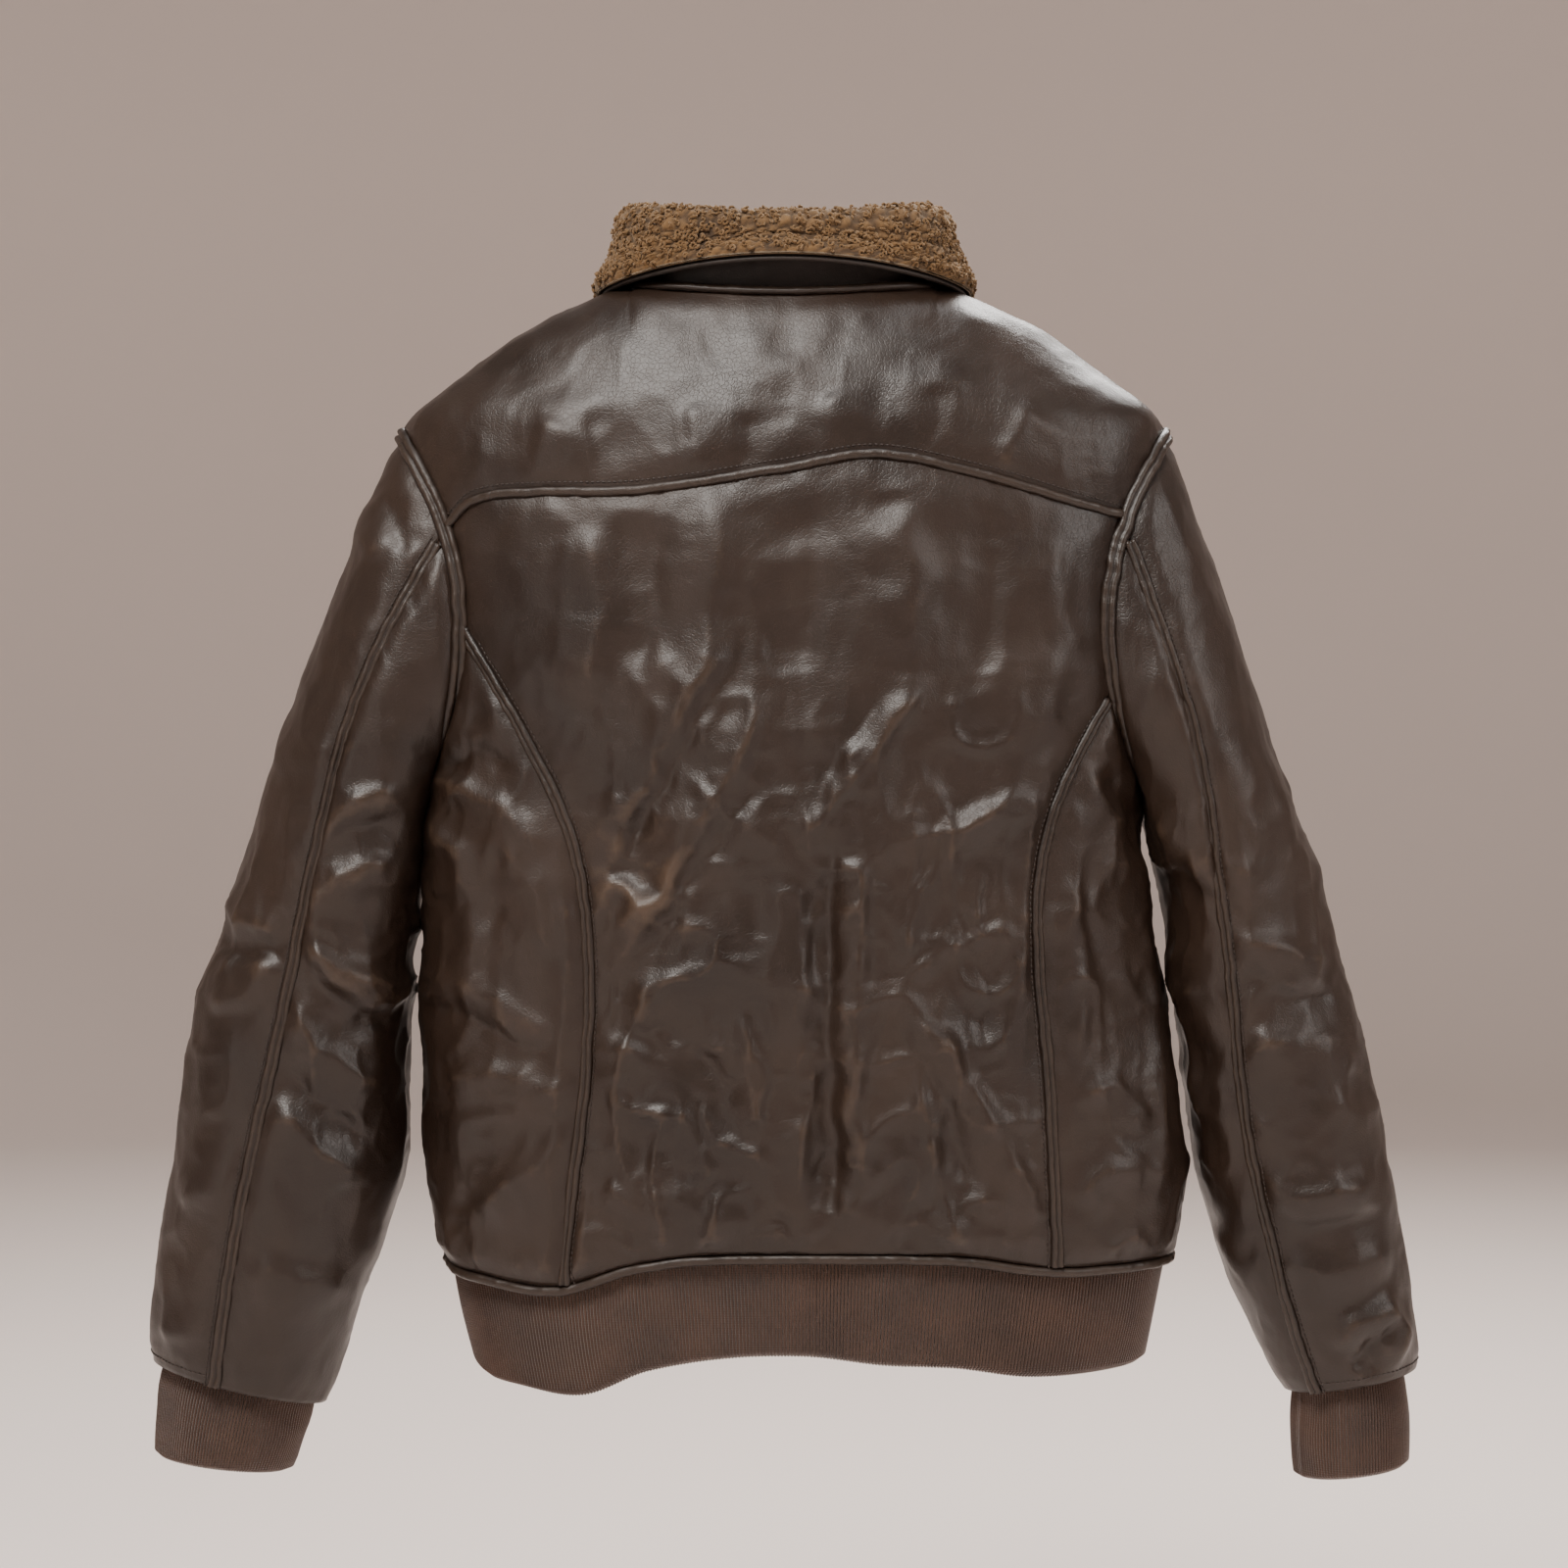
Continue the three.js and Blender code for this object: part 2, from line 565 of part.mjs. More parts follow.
// A point of the collar's middle surface at a place t and a share w of the way from neck seam to leaf edge.
function collarAt(t, w) {
  const { out, up } = neckFrame(t);
  const neck = neckPoint(t);
  const stand = lerp(standFront, standBack, smooth(backness(t), 0, 0.5));
  if (w <= standShare) return neck.addScaledVector(up, (stand * w) / standShare);
  const from = neck.addScaledVector(up, stand);
  const turn = Math.min(1, (w - standShare) / foldShare) * Math.PI;
  from.addScaledVector(out, foldRadius * (1 - Math.cos(turn)));
  from.addScaledVector(up, foldRadius * Math.sin(turn));
  if (w <= standShare + foldShare) return from;
  const q = (w - standShare - foldShare) / (1 - standShare - foldShare);
  const edge = leafEdgeAt(t);
  const bend = from.clone().addScaledVector(up, -0.3 * from.distanceTo(edge));
  from.multiplyScalar((1 - q) ** 2);
  return from.addScaledVector(bend, 2 * q * (1 - q)).addScaledVector(edge, q * q);
}
const collarPart = (from, to) => (u, v) => collarAt(lerp(0.004, 0.996, u), lerp(from, to, v));
const standPart = collarPart(0, standShare - 0.02);
const stand = add("collar_stand", plate(standPart, 26, 1, 0, collarLeather, { flip: true }), leather());
const leafPart = collarPart(standShare, 0.985);
const leaf = add("collar_leaf", plate(leafPart, 26, 7, 0, collarLeather, { flip: true }), leather());
// The pile lies on the other side of the collar's leather.
const pileStart = -pileWall - 2.6 * layerGap;
const pilePlate = plate(collarPart(0.02, 1), 26, 10, pileStart, pileWall, { flip: true });
add("collar_pile", cut(pilePlate, stand.geometry, leaf.geometry), pile());

// ---- Front zip ----
const zipDirection = new THREE.Vector3(0, zipSlope, -1).normalize(); // downwards along the zip
const zipGroup = new THREE.Group();
const zipTop = neckSeamFront - 6;
const zipBottom = bandBottom + 4;
const zipLength = (zipTop - zipBottom) / -zipDirection.z;
zipGroup.position.set(0, zipLine(zipTop), zipTop);
zipGroup.rotation.x = Math.atan(zipSlope); // the zip's own -Z runs down along its line
jacket.add(zipGroup);
const toothFace = -1.5; // front of the teeth, behind the leather's face
const toothMiddle = toothFace - toothWall / 2;
const tapeFace = -shellWall - layerGap;
for (const side of [-1, 1]) {
  const name = side < 0 ? "left" : "right";
  const tapeX = side * (toothSplit - 0.2 + zipTapeWidth / 2);
  const tapeY = tapeFace - zipTapeWall / 2;
  const strip = box(zipTapeWidth, zipTapeWall, zipLength, tapeX, tapeY, -zipLength / 2);
  add(`zip_tape_${name}`, strip, tape(), zipGroup);
  const toothX = side * (toothSplit + (toothReach - toothSplit) / 2);
  const toothWidth = toothReach - toothSplit;
  const toothRow = box(toothWidth, toothWall, zipLength - 16, toothX, toothMiddle, -zipLength / 2);
  add(`zip_teeth_${name}`, toothRow, metal(), zipGroup);
  const topStop = box(toothWidth, toothWall + 0.6, 5, toothX, toothMiddle, -4.5);
  add(`zip_top_stop_${name}`, topStop, metal(), zipGroup);
}
const bottomBox = box(2 * toothReach + 1, toothWall + 1, 6.5, 0, toothMiddle, -zipLength + 4);
add("zip_box", bottomBox, metal(), zipGroup);

// Wind flap: a strip sewn behind the left front, which keeps draughts from coming through the zip.
const windY = tapeFace - zipTapeWall - layerGap - windFlapWall / 2;
const windStrip = box(windFlapWidth, windFlapWall, zipLength - 50, -3, windY, -zipLength / 2 + 6);
add("wind_flap", windStrip, leather(), zipGroup);

// Slider: two plates joined by a post between the rows, with a bridge that the puller hangs on.
const sliderTop = -9;
const sliderMiddle = sliderTop - sliderLength / 2;
const sliderFront = toothFace + 0.4;
const bridgeBar = 1.6;
const bridgeReach = 3.4;
const bridgeLength = 9;
const pinRadius = 0.9;
const pinY = sliderFront + sliderPlate + bridgeReach / 2 - 0.2;
const pinZ = sliderMiddle + 1;
function slider() {
  const plateY = sliderFront + sliderPlate / 2;
  const frontPlate = box(sliderWidth, sliderPlate, sliderLength, 0, plateY, sliderMiddle);
  const backFace = toothFace - toothWall - 0.4;
  const backPlate = box(sliderWidth * 0.8, 1, sliderLength, 0, backFace - 0.5, sliderMiddle);
  const post = box(2 * toothSplit - 0.6, toothWall + 2.2, 5, 0, toothMiddle, sliderTop - 2.7);
  const top = sliderFront + sliderPlate - 0.1; // the bridge is sunk a little into the plate
  const whole = bridgeReach + bridgeBar;
  const bridge = cut(
    box(2.2, whole, bridgeLength, 0, top + whole / 2, pinZ),
    box(4, bridgeReach, bridgeLength - 2 * bridgeBar, 0, top + bridgeReach / 2, pinZ),
  );
  return join(frontPlate, post, backPlate, bridge);
}
add("zip_slider", slider(), metal(), zipGroup);
// Puller: a plate that hangs from a pin through the bridge, with a window round the bridge.
function puller() {
  const plateTop = pinZ + pinRadius;
  const blank = box(pullerWidth, pullerWall, pullerLength, 0, pinY, plateTop - pullerLength / 2);
  const window = box(3.4, 6, 8.5, 0, pinY, pinZ - pinRadius - 4.25);
  const eye = box(5, 6, 7, 0, pinY, plateTop - pullerLength + 7);
  return cut(blank, window, eye);
}
add("zip_puller", puller(), metal(), zipGroup);


// ---- Pockets: a pouch on each front, closed by a flap with a press stud ----
const pocketLevel = pocketBottom + pocketHeight / 2;
const flapTop = pocketHeight + flapRise;
for (const side of [-1, 1]) {
  const name = side < 0 ? "left" : "right";
  const near = facePoint(side * (pocketCentre - pocketWidth / 2), pocketLevel, 1);
  const far = facePoint(side * (pocketCentre + pocketWidth / 2), pocketLevel, 1);
  const turn = Math.atan2(far.y - near.y, far.x - near.x) + (side < 0 ? Math.PI : 0);
  const group = new THREE.Group();
  group.position.copy(near).lerp(far, 0.5);
  group.position.z = pocketBottom;
  group.rotation.z = turn;
  jacket.add(group);
  const frontY = pocketDepth;
  const middleY = (frontY - 14) / 2;
  const inside = pocketWidth - 2 * pocketWall;
  const raised = pocketHeight / 2 + pocketWall;
  const pouch = cut(
    box(pocketWidth, frontY + 14, pocketHeight, 0, middleY, pocketHeight / 2),
    box(inside, frontY + 14, pocketHeight, 0, middleY - pocketWall, raised),
  );
  // The pouch ends where the front panel's face is.
  const behind = plate((u, v) => {
    const across = lerp(-1, 1, side < 0 ? 1 - u : u);
    const x = side * (pocketCentre + across * (pocketWidth / 2 + 30));
    const z = lerp(pocketBottom - 20, pocketBottom + pocketHeight + 20, v);
    return facePoint(x, z, 1);
  }, 12, 6, -1.6 * layerGap, 60, { flip: true });
  group.updateMatrixWorld(true);
  behind.applyMatrix4(group.matrixWorld.clone().invert());
  add(`pocket_${name}`, cut(pouch, behind), leather(), group);
  const studY = frontY + 1.1;
  const studZ = flapTop - flapHeight + 15;
  const round = (radius, wall, y) => {
    return new THREE.CylinderGeometry(radius, radius, wall, 16).translate(0, y, studZ);
  };
  add(`snap_stud_${name}`, round(4.6, 1.6, studY), metal(), group);
  // The flap: a plate with its lower corners cut off, hinged along its top edge above the pouch.
  const w = pocketWidth / 2 + flapOverhang;
  const outline = new THREE.Shape();
  outline.moveTo(-w, 0);
  outline.lineTo(w, 0);
  outline.lineTo(w, -flapHeight * 0.62);
  outline.lineTo(w * 0.3, -flapHeight);
  outline.lineTo(-w * 0.3, -flapHeight);
  outline.lineTo(-w, -flapHeight * 0.62);
  outline.closePath();
  const flapGeometry = new THREE.ExtrudeGeometry(outline, { depth: flapWall, bevelEnabled: false });
  flapGeometry.rotateX(Math.PI / 2);
  const flapFace = frontY + 2.4 + flapWall;
  flapGeometry.translate(0, flapFace, flapTop);
  const lip = box(2 * w, flapFace + 10, flapWall, 0, (flapFace - 10) / 2, flapTop - flapWall / 2);
  add(`pocket_flap_${name}`, cut(join(flapGeometry, lip), behind), leather(), group);
  const capY = flapFace + 0.3 + 1.3;
  add(`snap_cap_${name}`, round(snapRadius, 2.6, capY), metal(), group);
}

// ---- Inside the neck: the hanging loop and a blank label ----
const labelLevel = -72; // its lower edge
const loopLevel = -20; // top of its strap
const loopDrop = 16; // from there to the feet of its two ends
const strapWidth = 6;
const strapWall = 2;
const innerFace = liningStart + liningWall;
const strapY = facePoint(0, loopLevel, -1).y + innerFace + 4 * layerGap + strapWidth / 2;
const loopEnd = (side) => {
  const x = side * (loopWidth / 2 - 1.5);
  return box(3, 24, loopDrop, x, strapY + strapWidth / 2 - 12, loopLevel - loopDrop / 2);
};
const behindNeck = (u, v) => facePoint(lerp(-50, 50, u), lerp(-90, -6, v), -1);
const liningFace = plate(behindNeck, 8, 8, -30, 30 + innerFace + 2 * layerGap);
const loopStrap = box(loopWidth, strapWidth, strapWall, 0, strapY, loopLevel - strapWall / 2);
add("hang_loop", cut(join(loopStrap, loopEnd(-1), loopEnd(1)), liningFace), leather());
const labelOn = (u, v) => facePoint(labelWidth * (u - 0.5), labelLevel + labelHeight * v, -1);
const labelPlate = plate(labelOn, 2, 2, innerFace + layerGap, labelWall);
add("neck_label", cut(labelPlate, backSheet), tape());

// ---- Sleeves ----
// Outer silhouettes are given from the shoulder's end, and inner ones from the armpit, as [outwards, up].
// The seam at the back lies this far round from the outer line, as [share of the length, degrees].
const shoulderEnd = [shoulderHalfWidth, shoulderLevel];
const armpit = [chestHalfWidth, armpitLevel];
const from = (start, points) => [start, ...points.map(([x, z]) => [start[0] + x, start[1] + z])];
const sleeveLines = {
  left: {
    outer: from(shoulderEnd, [[37, -92], [67, -172], [104, -283], [129, -363], [151, -486], [162, -586]]),
    inner: from(armpit, [[9, -64], [16, -144], [17, -236], [27, -275], [44, -325], [66, -395]]),
    cuffOuter: from(shoulderEnd, [[159, -645]])[1],
    cuffInner: from(armpit, [[91, -437]])[1],
    backSeam: [[0, -65], [0.3, -76], [1, -80]],
  },
  right: {
    outer: from(shoulderEnd, [[31, -92], [58, -172], [92, -271], [118, -363], [143, -468], [163, -590]]),
    inner: from(armpit, [[16, -64], [29, -144], [38, -236], [51, -285], [68, -335], [93, -387]]),
    cuffOuter: from(shoulderEnd, [[156, -651]])[1],
    cuffInner: from(armpit, [[103, -441]])[1],
    backSeam: [[0, -63], [0.3, -108], [1, -130]],
  },
};
const frontSeamTurn = 112; // degrees round the sleeve from its outer line, on the front
const sleeveDepth = through([
  [0, sleeveTube - 7], [0.15, sleeveTube], [0.5, elbowTube], [0.8, elbowTube - 5], [1, sleeveEndTube],
]);

// A point at a share of a polyline's length, rounded between its points.
function alongLine(points) {
  const places = points.map(([x, z]) => new THREE.Vector3(x, 0, z));
  const curve = new THREE.CatmullRomCurve3(places, false, "centripetal");
  return (s) => curve.getPointAt(clamp(s, 0, 1));
}
function sleeve(side) {
  const name = side < 0 ? "left" : "right";
  const lines = sleeveLines[name];
  const outer = alongLine(lines.outer);
  const inner = alongLine(lines.inner);
  // A point at an angle round the sleeve (0 on its outer line, 90 at the front) and a share of its length.
  const sleeveAt = (angle, s) => {
    const o = outer(s);
    const i = inner(s);
    const c = Math.cos(angle);
    const sn = Math.sin(angle);
    const middle = o.clone().add(i).multiplyScalar(0.5);
    const arm = o.clone().sub(i).multiplyScalar(0.5);
    const p = middle.addScaledVector(arm, c);
    p.y = sleeveForward * s * s + sleeveDepth(s) * sn;
    if (s < headShare) {
      const z = armholeMiddle + armholeHalf * c;
      const x = Math.abs(armholeX(z, side));
      const y = Math.sign(sn) * Math.abs(facePoint(side * x, z, sn < 0 ? -1 : 1).y);
      const flat = outer(0).clone().add(inner(0)).multiplyScalar(0.5);
      flat.addScaledVector(outer(0).clone().sub(inner(0)).multiplyScalar(0.5), c);
      flat.y = sleeveDepth(0) * sn;
      const fade = Math.pow(1 - s / headShare, 2);
      p.add(new THREE.Vector3(x, y, z).sub(flat).multiplyScalar(fade));
    }
    return new THREE.Vector3(side * p.x, p.y, p.z);
  };
  const backSeam = through(lines.backSeam.map(([s, turn]) => [s, (turn * Math.PI) / 180]));
  const frontSeam = (frontSeamTurn * Math.PI) / 180;
  const trim = half / 60;
  const headGap = 0.007;
  const length = (v) => lerp(headGap, 1, v);
  const flip = side > 0;
  const top = (u, v) => {
    const s = length(v);
    return sleeveAt(lerp(backSeam(s) + trim, frontSeam - trim, u), s);
  };
  const under = (u, v) => {
    const s = length(v);
    return sleeveAt(lerp(frontSeam + trim, backSeam(s) + 2 * Math.PI - trim, u), s);
  };
  add(`top_sleeve_${name}`, plate(top, 9, 13, 0, shellWall, { flip }), leather());
  add(`under_sleeve_${name}`, plate(under, 8, 13, 0, shellWall, { flip }), leather());
  const tube = (u, v) => sleeveAt(2 * Math.PI * u, lerp(0.03, 1 - cuffTuck / 550, v));
  const sleeveLining = plate(tube, 16, 11, liningStart + 1, liningWall, { ring: true, flip });
  add(`sleeve_lining_${name}`, sleeveLining, lining());
  // Cuff: its top sits just inside the sleeve's end.
  const end = 1 - (cuffTuck - 3) / 550;
  const cuffTop = (angle) => {
    const o = outer(end);
    const i = inner(end);
    const inset = shellWall + layerGap + liningWall + 3;
    const middle = o.clone().add(i).multiplyScalar(0.5);
    const arm = o.clone().sub(i);
    arm.multiplyScalar(0.5 - inset / arm.length());
    const p = middle.addScaledVector(arm, Math.cos(angle));
    const y = sleeveForward + (sleeveDepth(1) - inset) * Math.sin(angle);
    return new THREE.Vector3(side * p.x, y, p.z);
  };
  const cuffEnd = (angle) => {
    const o = new THREE.Vector3(lines.cuffOuter[0], 0, lines.cuffOuter[1]);
    const i = new THREE.Vector3(lines.cuffInner[0], 0, lines.cuffInner[1]);
    const arm = o.clone().sub(i).multiplyScalar(0.5);
    const p = i.add(arm).addScaledVector(arm, Math.cos(angle));
    const y = sleeveForward + 4 + (sleeveEndTube - 13) * Math.sin(angle);
    return new THREE.Vector3(side * p.x, y, p.z);
  };
  const cuff = (u, v) => cuffTop(2 * Math.PI * u).lerp(cuffEnd(2 * Math.PI * u), v);
  add(`cuff_${name}`, plate(cuff, 18, 2, 0, cuffWall, { ring: true, flip }), rib());
}
sleeve(-1);
sleeve(1);

export default jacket;
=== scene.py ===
"""A padded leather riding jacket as it hangs: leather panels eased and crumpled by a cloth simulation,
welted and stitched seams, a curly pile collar, ribbed knit bands, a toothed zip and flap pockets."""
import math

import bpy
import numpy as np
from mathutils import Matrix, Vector


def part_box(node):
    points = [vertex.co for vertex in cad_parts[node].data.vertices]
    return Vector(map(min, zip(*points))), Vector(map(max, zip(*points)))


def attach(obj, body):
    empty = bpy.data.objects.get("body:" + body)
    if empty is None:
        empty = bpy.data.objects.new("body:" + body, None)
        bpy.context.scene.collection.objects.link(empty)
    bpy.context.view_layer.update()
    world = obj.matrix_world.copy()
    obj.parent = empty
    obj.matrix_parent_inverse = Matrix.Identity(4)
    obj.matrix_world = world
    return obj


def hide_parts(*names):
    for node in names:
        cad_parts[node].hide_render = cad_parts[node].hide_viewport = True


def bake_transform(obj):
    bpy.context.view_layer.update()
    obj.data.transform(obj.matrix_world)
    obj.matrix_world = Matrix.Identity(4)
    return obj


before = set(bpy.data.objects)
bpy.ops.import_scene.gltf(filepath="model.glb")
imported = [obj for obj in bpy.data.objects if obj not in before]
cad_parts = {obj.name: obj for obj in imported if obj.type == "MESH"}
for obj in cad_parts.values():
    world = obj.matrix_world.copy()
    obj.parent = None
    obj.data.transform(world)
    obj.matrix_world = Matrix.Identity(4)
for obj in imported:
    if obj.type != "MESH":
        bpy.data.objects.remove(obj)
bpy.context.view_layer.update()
scene = bpy.context.scene

# ---------------------------------------------------------------- sizes, in metres
MM = 0.001
LINING_DEPTH = 10.5 * MM  # from the leather's face to the lining
GRID = 5.2 * MM  # spacing of the cloth that is simulated
OUTWARD_MOST = 9 * MM  # how far a fold may stand out
INWARD_MOST = 7 * MM  # and sink in
SLIDE_MOST = 3 * MM  # and slide along the panel
FULLNESS = 0.07  # how much larger than its place crumpled leather is cut
SETTLING_STEPS = 22
# Two places along a sleeve, given as (outwards, height).
SLEEVE_STILL, SLEEVE_FREE = (0.3075, -0.1182), (0.4425, -0.1827)
WELT = 4.2 * MM
STITCH_PITCH = 3.4 * MM
RIB_PITCH = 2.1 * MM


# ---------------------------------------------------------------- small mathematics
def smooth(x, low, high):
    t = np.clip((np.asarray(x, float) - low) / (high - low), 0, 1)
    return t * t * (3 - 2 * t)


def lerp(a, b, t):
    return a + (b - a) * t


def through(stations, column=1, key_unit=MM, unit=MM):
    """A smooth function through stations (key, value, ...), given in millimetres and read in metres."""
    rows = sorted(stations)
    key = np.array([r[0] for r in rows], float) * key_unit
    value = np.array([r[column] for r in rows], float) * unit
    n = len(key)
    after, before = np.minimum(np.arange(n) + 1, n - 1), np.maximum(np.arange(n) - 1, 0)
    slope = (value[after] - value[before]) / (key[after] - key[before])

    def at(x):
        x = np.asarray(x, float)
        i = np.clip(np.searchsorted(key, x) - 1, 0, n - 2)
        span = key[i + 1] - key[i]
        t = np.clip((x - key[i]) / span, 0, 1)
        ends = (2 * t**3 - 3 * t**2 + 1) * value[i] + (3 * t**2 - 2 * t**3) * value[i + 1]
        inside = ends + span * ((t**3 - 2 * t**2 + t) * slope[i] + (t**3 - t**2) * slope[i + 1])
        below = np.minimum(x - key[0], 0) * slope[0]
        above = np.maximum(x - key[-1], 0) * slope[-1]
        return inside + below + above

    return at


def unit(v):
    return v / np.maximum(np.linalg.norm(v, axis=-1, keepdims=True), 1e-12)


def hashed(i, j, k, seed):
    h = (i * 374761393 + j * 668265263 + k * 2147483647 + seed * 974634777) & 0xFFFFFFFF
    h = ((h ^ (h >> 13)) * 1274126177) & 0xFFFFFFFF
    return ((h ^ (h >> 16)) & 0xFFFF) / 32767.5 - 1


def waver(p, scale, seed=0):
    """Smooth noise from -1 to 1 at the points p, whose bumps are about scale wide."""
    q = np.asarray(p, float) / scale
    if q.shape[-1] == 2:
        q = np.concatenate([q, np.zeros(q.shape[:-1] + (1,))], -1)
    base = np.floor(q).astype(np.int64)
    f = q - base
    f = f * f * f * (f * (f * 6 - 15) + 10)
    total = 0
    for a in (0, 1):
        for b in (0, 1):
            for c in (0, 1):
                weight = np.abs(1 - a - f[..., 0]) * np.abs(1 - b - f[..., 1]) * np.abs(1 - c - f[..., 2])
                total = total + weight * hashed(base[..., 0] + a, base[..., 1] + b, base[..., 2] + c, seed)
    return total


# ---------------------------------------------------------------- the body's shape, as in the frame
SHOULDER_LEVEL, ARMPIT_LEVEL, HEM_LEVEL, BAND_BOTTOM = -86 * MM, -305 * MM, -600 * MM, -666 * MM
NECK_TOP, NECK_BACK, NECK_FRONT = 8 * MM, -6 * MM, -72 * MM
POWER = 2.35  # squareness of the body's section
ZIP_GAP = 6 * MM  # from the zip's middle to each front

half_width = through([
    (8, 86), (0, 106), (-24.08, 160.5), (-54.18, 202.5), (-86, 240), (-162.65, 236), (-239.3, 230.4),
    (-305, 224), (-408.25, 228), (-526.25, 237), (-600, 231), (-666, 227),
])
back_depth = through([
    (8, 59.4), (-24.08, 75.6), (-86, 96.1), (-173.6, 105.8), (-305, 108), (-600, 92.9), (-666, 90.7),
])


def front_depth(z):
    slope = 14 / 594
    above = np.clip((z - NECK_FRONT) / (NECK_TOP - NECK_FRONT), 0, 1)
    return 80 * MM + (NECK_FRONT - z) * slope - 36 * MM * above**1.6


def sway(z):
    return 16 * MM * smooth(-z, 0.35, 0.6)


def body_at(angle, z, inset=0.0):
    """A point of the body's face at an angle from +X (the front is 90 degrees) and a height."""
    c, s = np.cos(angle), np.sin(angle)
    depth = np.where(s > 0, front_depth(z), back_depth(z))
    follow = 1 - np.maximum(s, 0) ** 12
    x = np.sign(c) * np.abs(c) ** (2 / POWER) * (half_width(z) - inset)
    y = np.sign(s) * np.abs(s) ** (2 / POWER) * (depth - inset)
    return np.stack([x + sway(z) * follow, y, np.broadcast_to(z, x.shape)], -1)


def angle_of(x, z, side):
    """The angle at which the back (side -1) or front (side 1) has a given x."""
    x, z = np.broadcast_arrays(np.asarray(x, float), np.asarray(z, float))
    near, far = np.zeros(x.shape), np.full(x.shape, math.pi)
    for _ in range(40):
        middle = (near + far) / 2
        beyond = body_at(side * middle, z)[..., 0] > x
        near, far = np.where(beyond, middle, near), np.where(beyond, far, middle)
    return near if side > 0 else 2 * math.pi - near


def face_at(x, z, side):
    return body_at(angle_of(x, z, side), z)


ARM_MIDDLE, ARM_HALF = (SHOULDER_LEVEL + ARMPIT_LEVEL) / 2, (SHOULDER_LEVEL - ARMPIT_LEVEL) / 2


def armhole_x(z, side):
    share = np.clip((z - ARM_MIDDLE) / ARM_HALF, -1, 1)
    return side * (lerp(224 * MM, 240 * MM, (share + 1) / 2) - 35 * MM * (1 - share**2))


left_princess = through(
    [(-215, -196), (-271, -162), (-338, -130), (-400, -119), (-480, -120), (-553, -129), (-615, -134)]
)
right_princess = through(
    [(-262, 196), (-290, 180), (-325, 164), (-369, 155), (-418, 155), (-480, 161), (-615, 168)]
)
yoke_seam = through(
    [
        (-210, -152), (-190, -134), (-150, -130), (-90, -130), (0, -117), (55, -108), (120, -120),
        (180, -136), (225, -146),
    ]
)
hem_wave = through(
    [(-240, -4), (-190, -9), (-140, -14), (-95, 0), (-50, 7), (30, 8), (110, 6), (165, -2), (240, -1)]
)


def hem_at(x, y):
    return HEM_LEVEL + np.where(np.asarray(y) < 0, hem_wave(x) * smooth(-np.asarray(y), 0, 0.04), 0)


def ridge_level(x):
    x = np.abs(np.asarray(x, float))
    low, high = np.full(x.shape, SHOULDER_LEVEL), np.full(x.shape, NECK_TOP)
    for _ in range(40):
        middle = (low + high) / 2
        wide = half_width(middle) > x
        low, high = np.where(wide, middle, low), np.where(wide, high, middle)
    return low


def seam_level(x):
    return ridge_level(np.abs(x) * (1 + 3.5e-5))


NECK_EDGE = 96 * MM


def neck_level(x, side):
    share = np.clip(np.abs(x) / NECK_EDGE, 0, 1)
    middle = NECK_BACK if side < 0 else NECK_FRONT
    return lerp(middle, seam_level(np.array(NECK_EDGE)), share ** (2 if side < 0 else 1.4))


def panel_top(x, side):
    return np.where(np.abs(x) < NECK_EDGE, neck_level(x, side), seam_level(x))


def eased_top(x, side):
    """The panel's top with the corner between neck and shoulder seams rounded."""
    x = np.asarray(x, float)
    rounded = sum(panel_top(x + k * 4 * MM, side) for k in range(-3, 4)) / 7
    return lerp(rounded, panel_top(x, side), smooth(np.abs(x), NECK_EDGE + 12 * MM, NECK_EDGE + 24 * MM))


def closed_shoulders(grid):
    """Draws a panel's top edge onto the shoulder seam, outside the neck."""
    edge = grid[-1]
    share = smooth(np.abs(edge[:, 0]), NECK_EDGE - 3 * MM, NECK_EDGE + 3 * MM)
    target = np.stack([edge[:, 0], np.zeros(len(edge)), eased_top(edge[:, 0], -1)], -1)
    shift = (target - edge) * share[:, None]
    away = np.linalg.norm(grid - edge[None], axis=-1)
    return grid + shift[None] * np.exp(-((away / 0.016) ** 2))[..., None]


def front_side_x(z, side):
    return side * 0.86 * half_width(z)


def panel_grid(side, left, right, bottom, top, nu, nv, gather=1.0):
    """Points of a back (-1) or front (1) panel: rows from bottom to top, columns from left to right."""
    u, v = np.meshgrid(np.linspace(0, 1, nu + 1), np.linspace(0, 1, nv + 1))
    share = 1 - (1 - v) ** gather
    x = np.zeros(u.shape)
    z = np.full(u.shape, -0.3)
    for _ in range(16):
        x = lerp(left(z), right(z), u)
        z = lerp(bottom(x), top(x), share)
    return face_at(x, z, side)


def outer_edge(z, side):
    return armhole_x(np.minimum(z, SHOULDER_LEVEL), side)


def in_armhole(p, side):
    inside = (p[..., 2] < SHOULDER_LEVEL) & (p[..., 2] > ARMPIT_LEVEL)
    return inside & (side * p[..., 0] > np.abs(armhole_x(p[..., 2], side)))


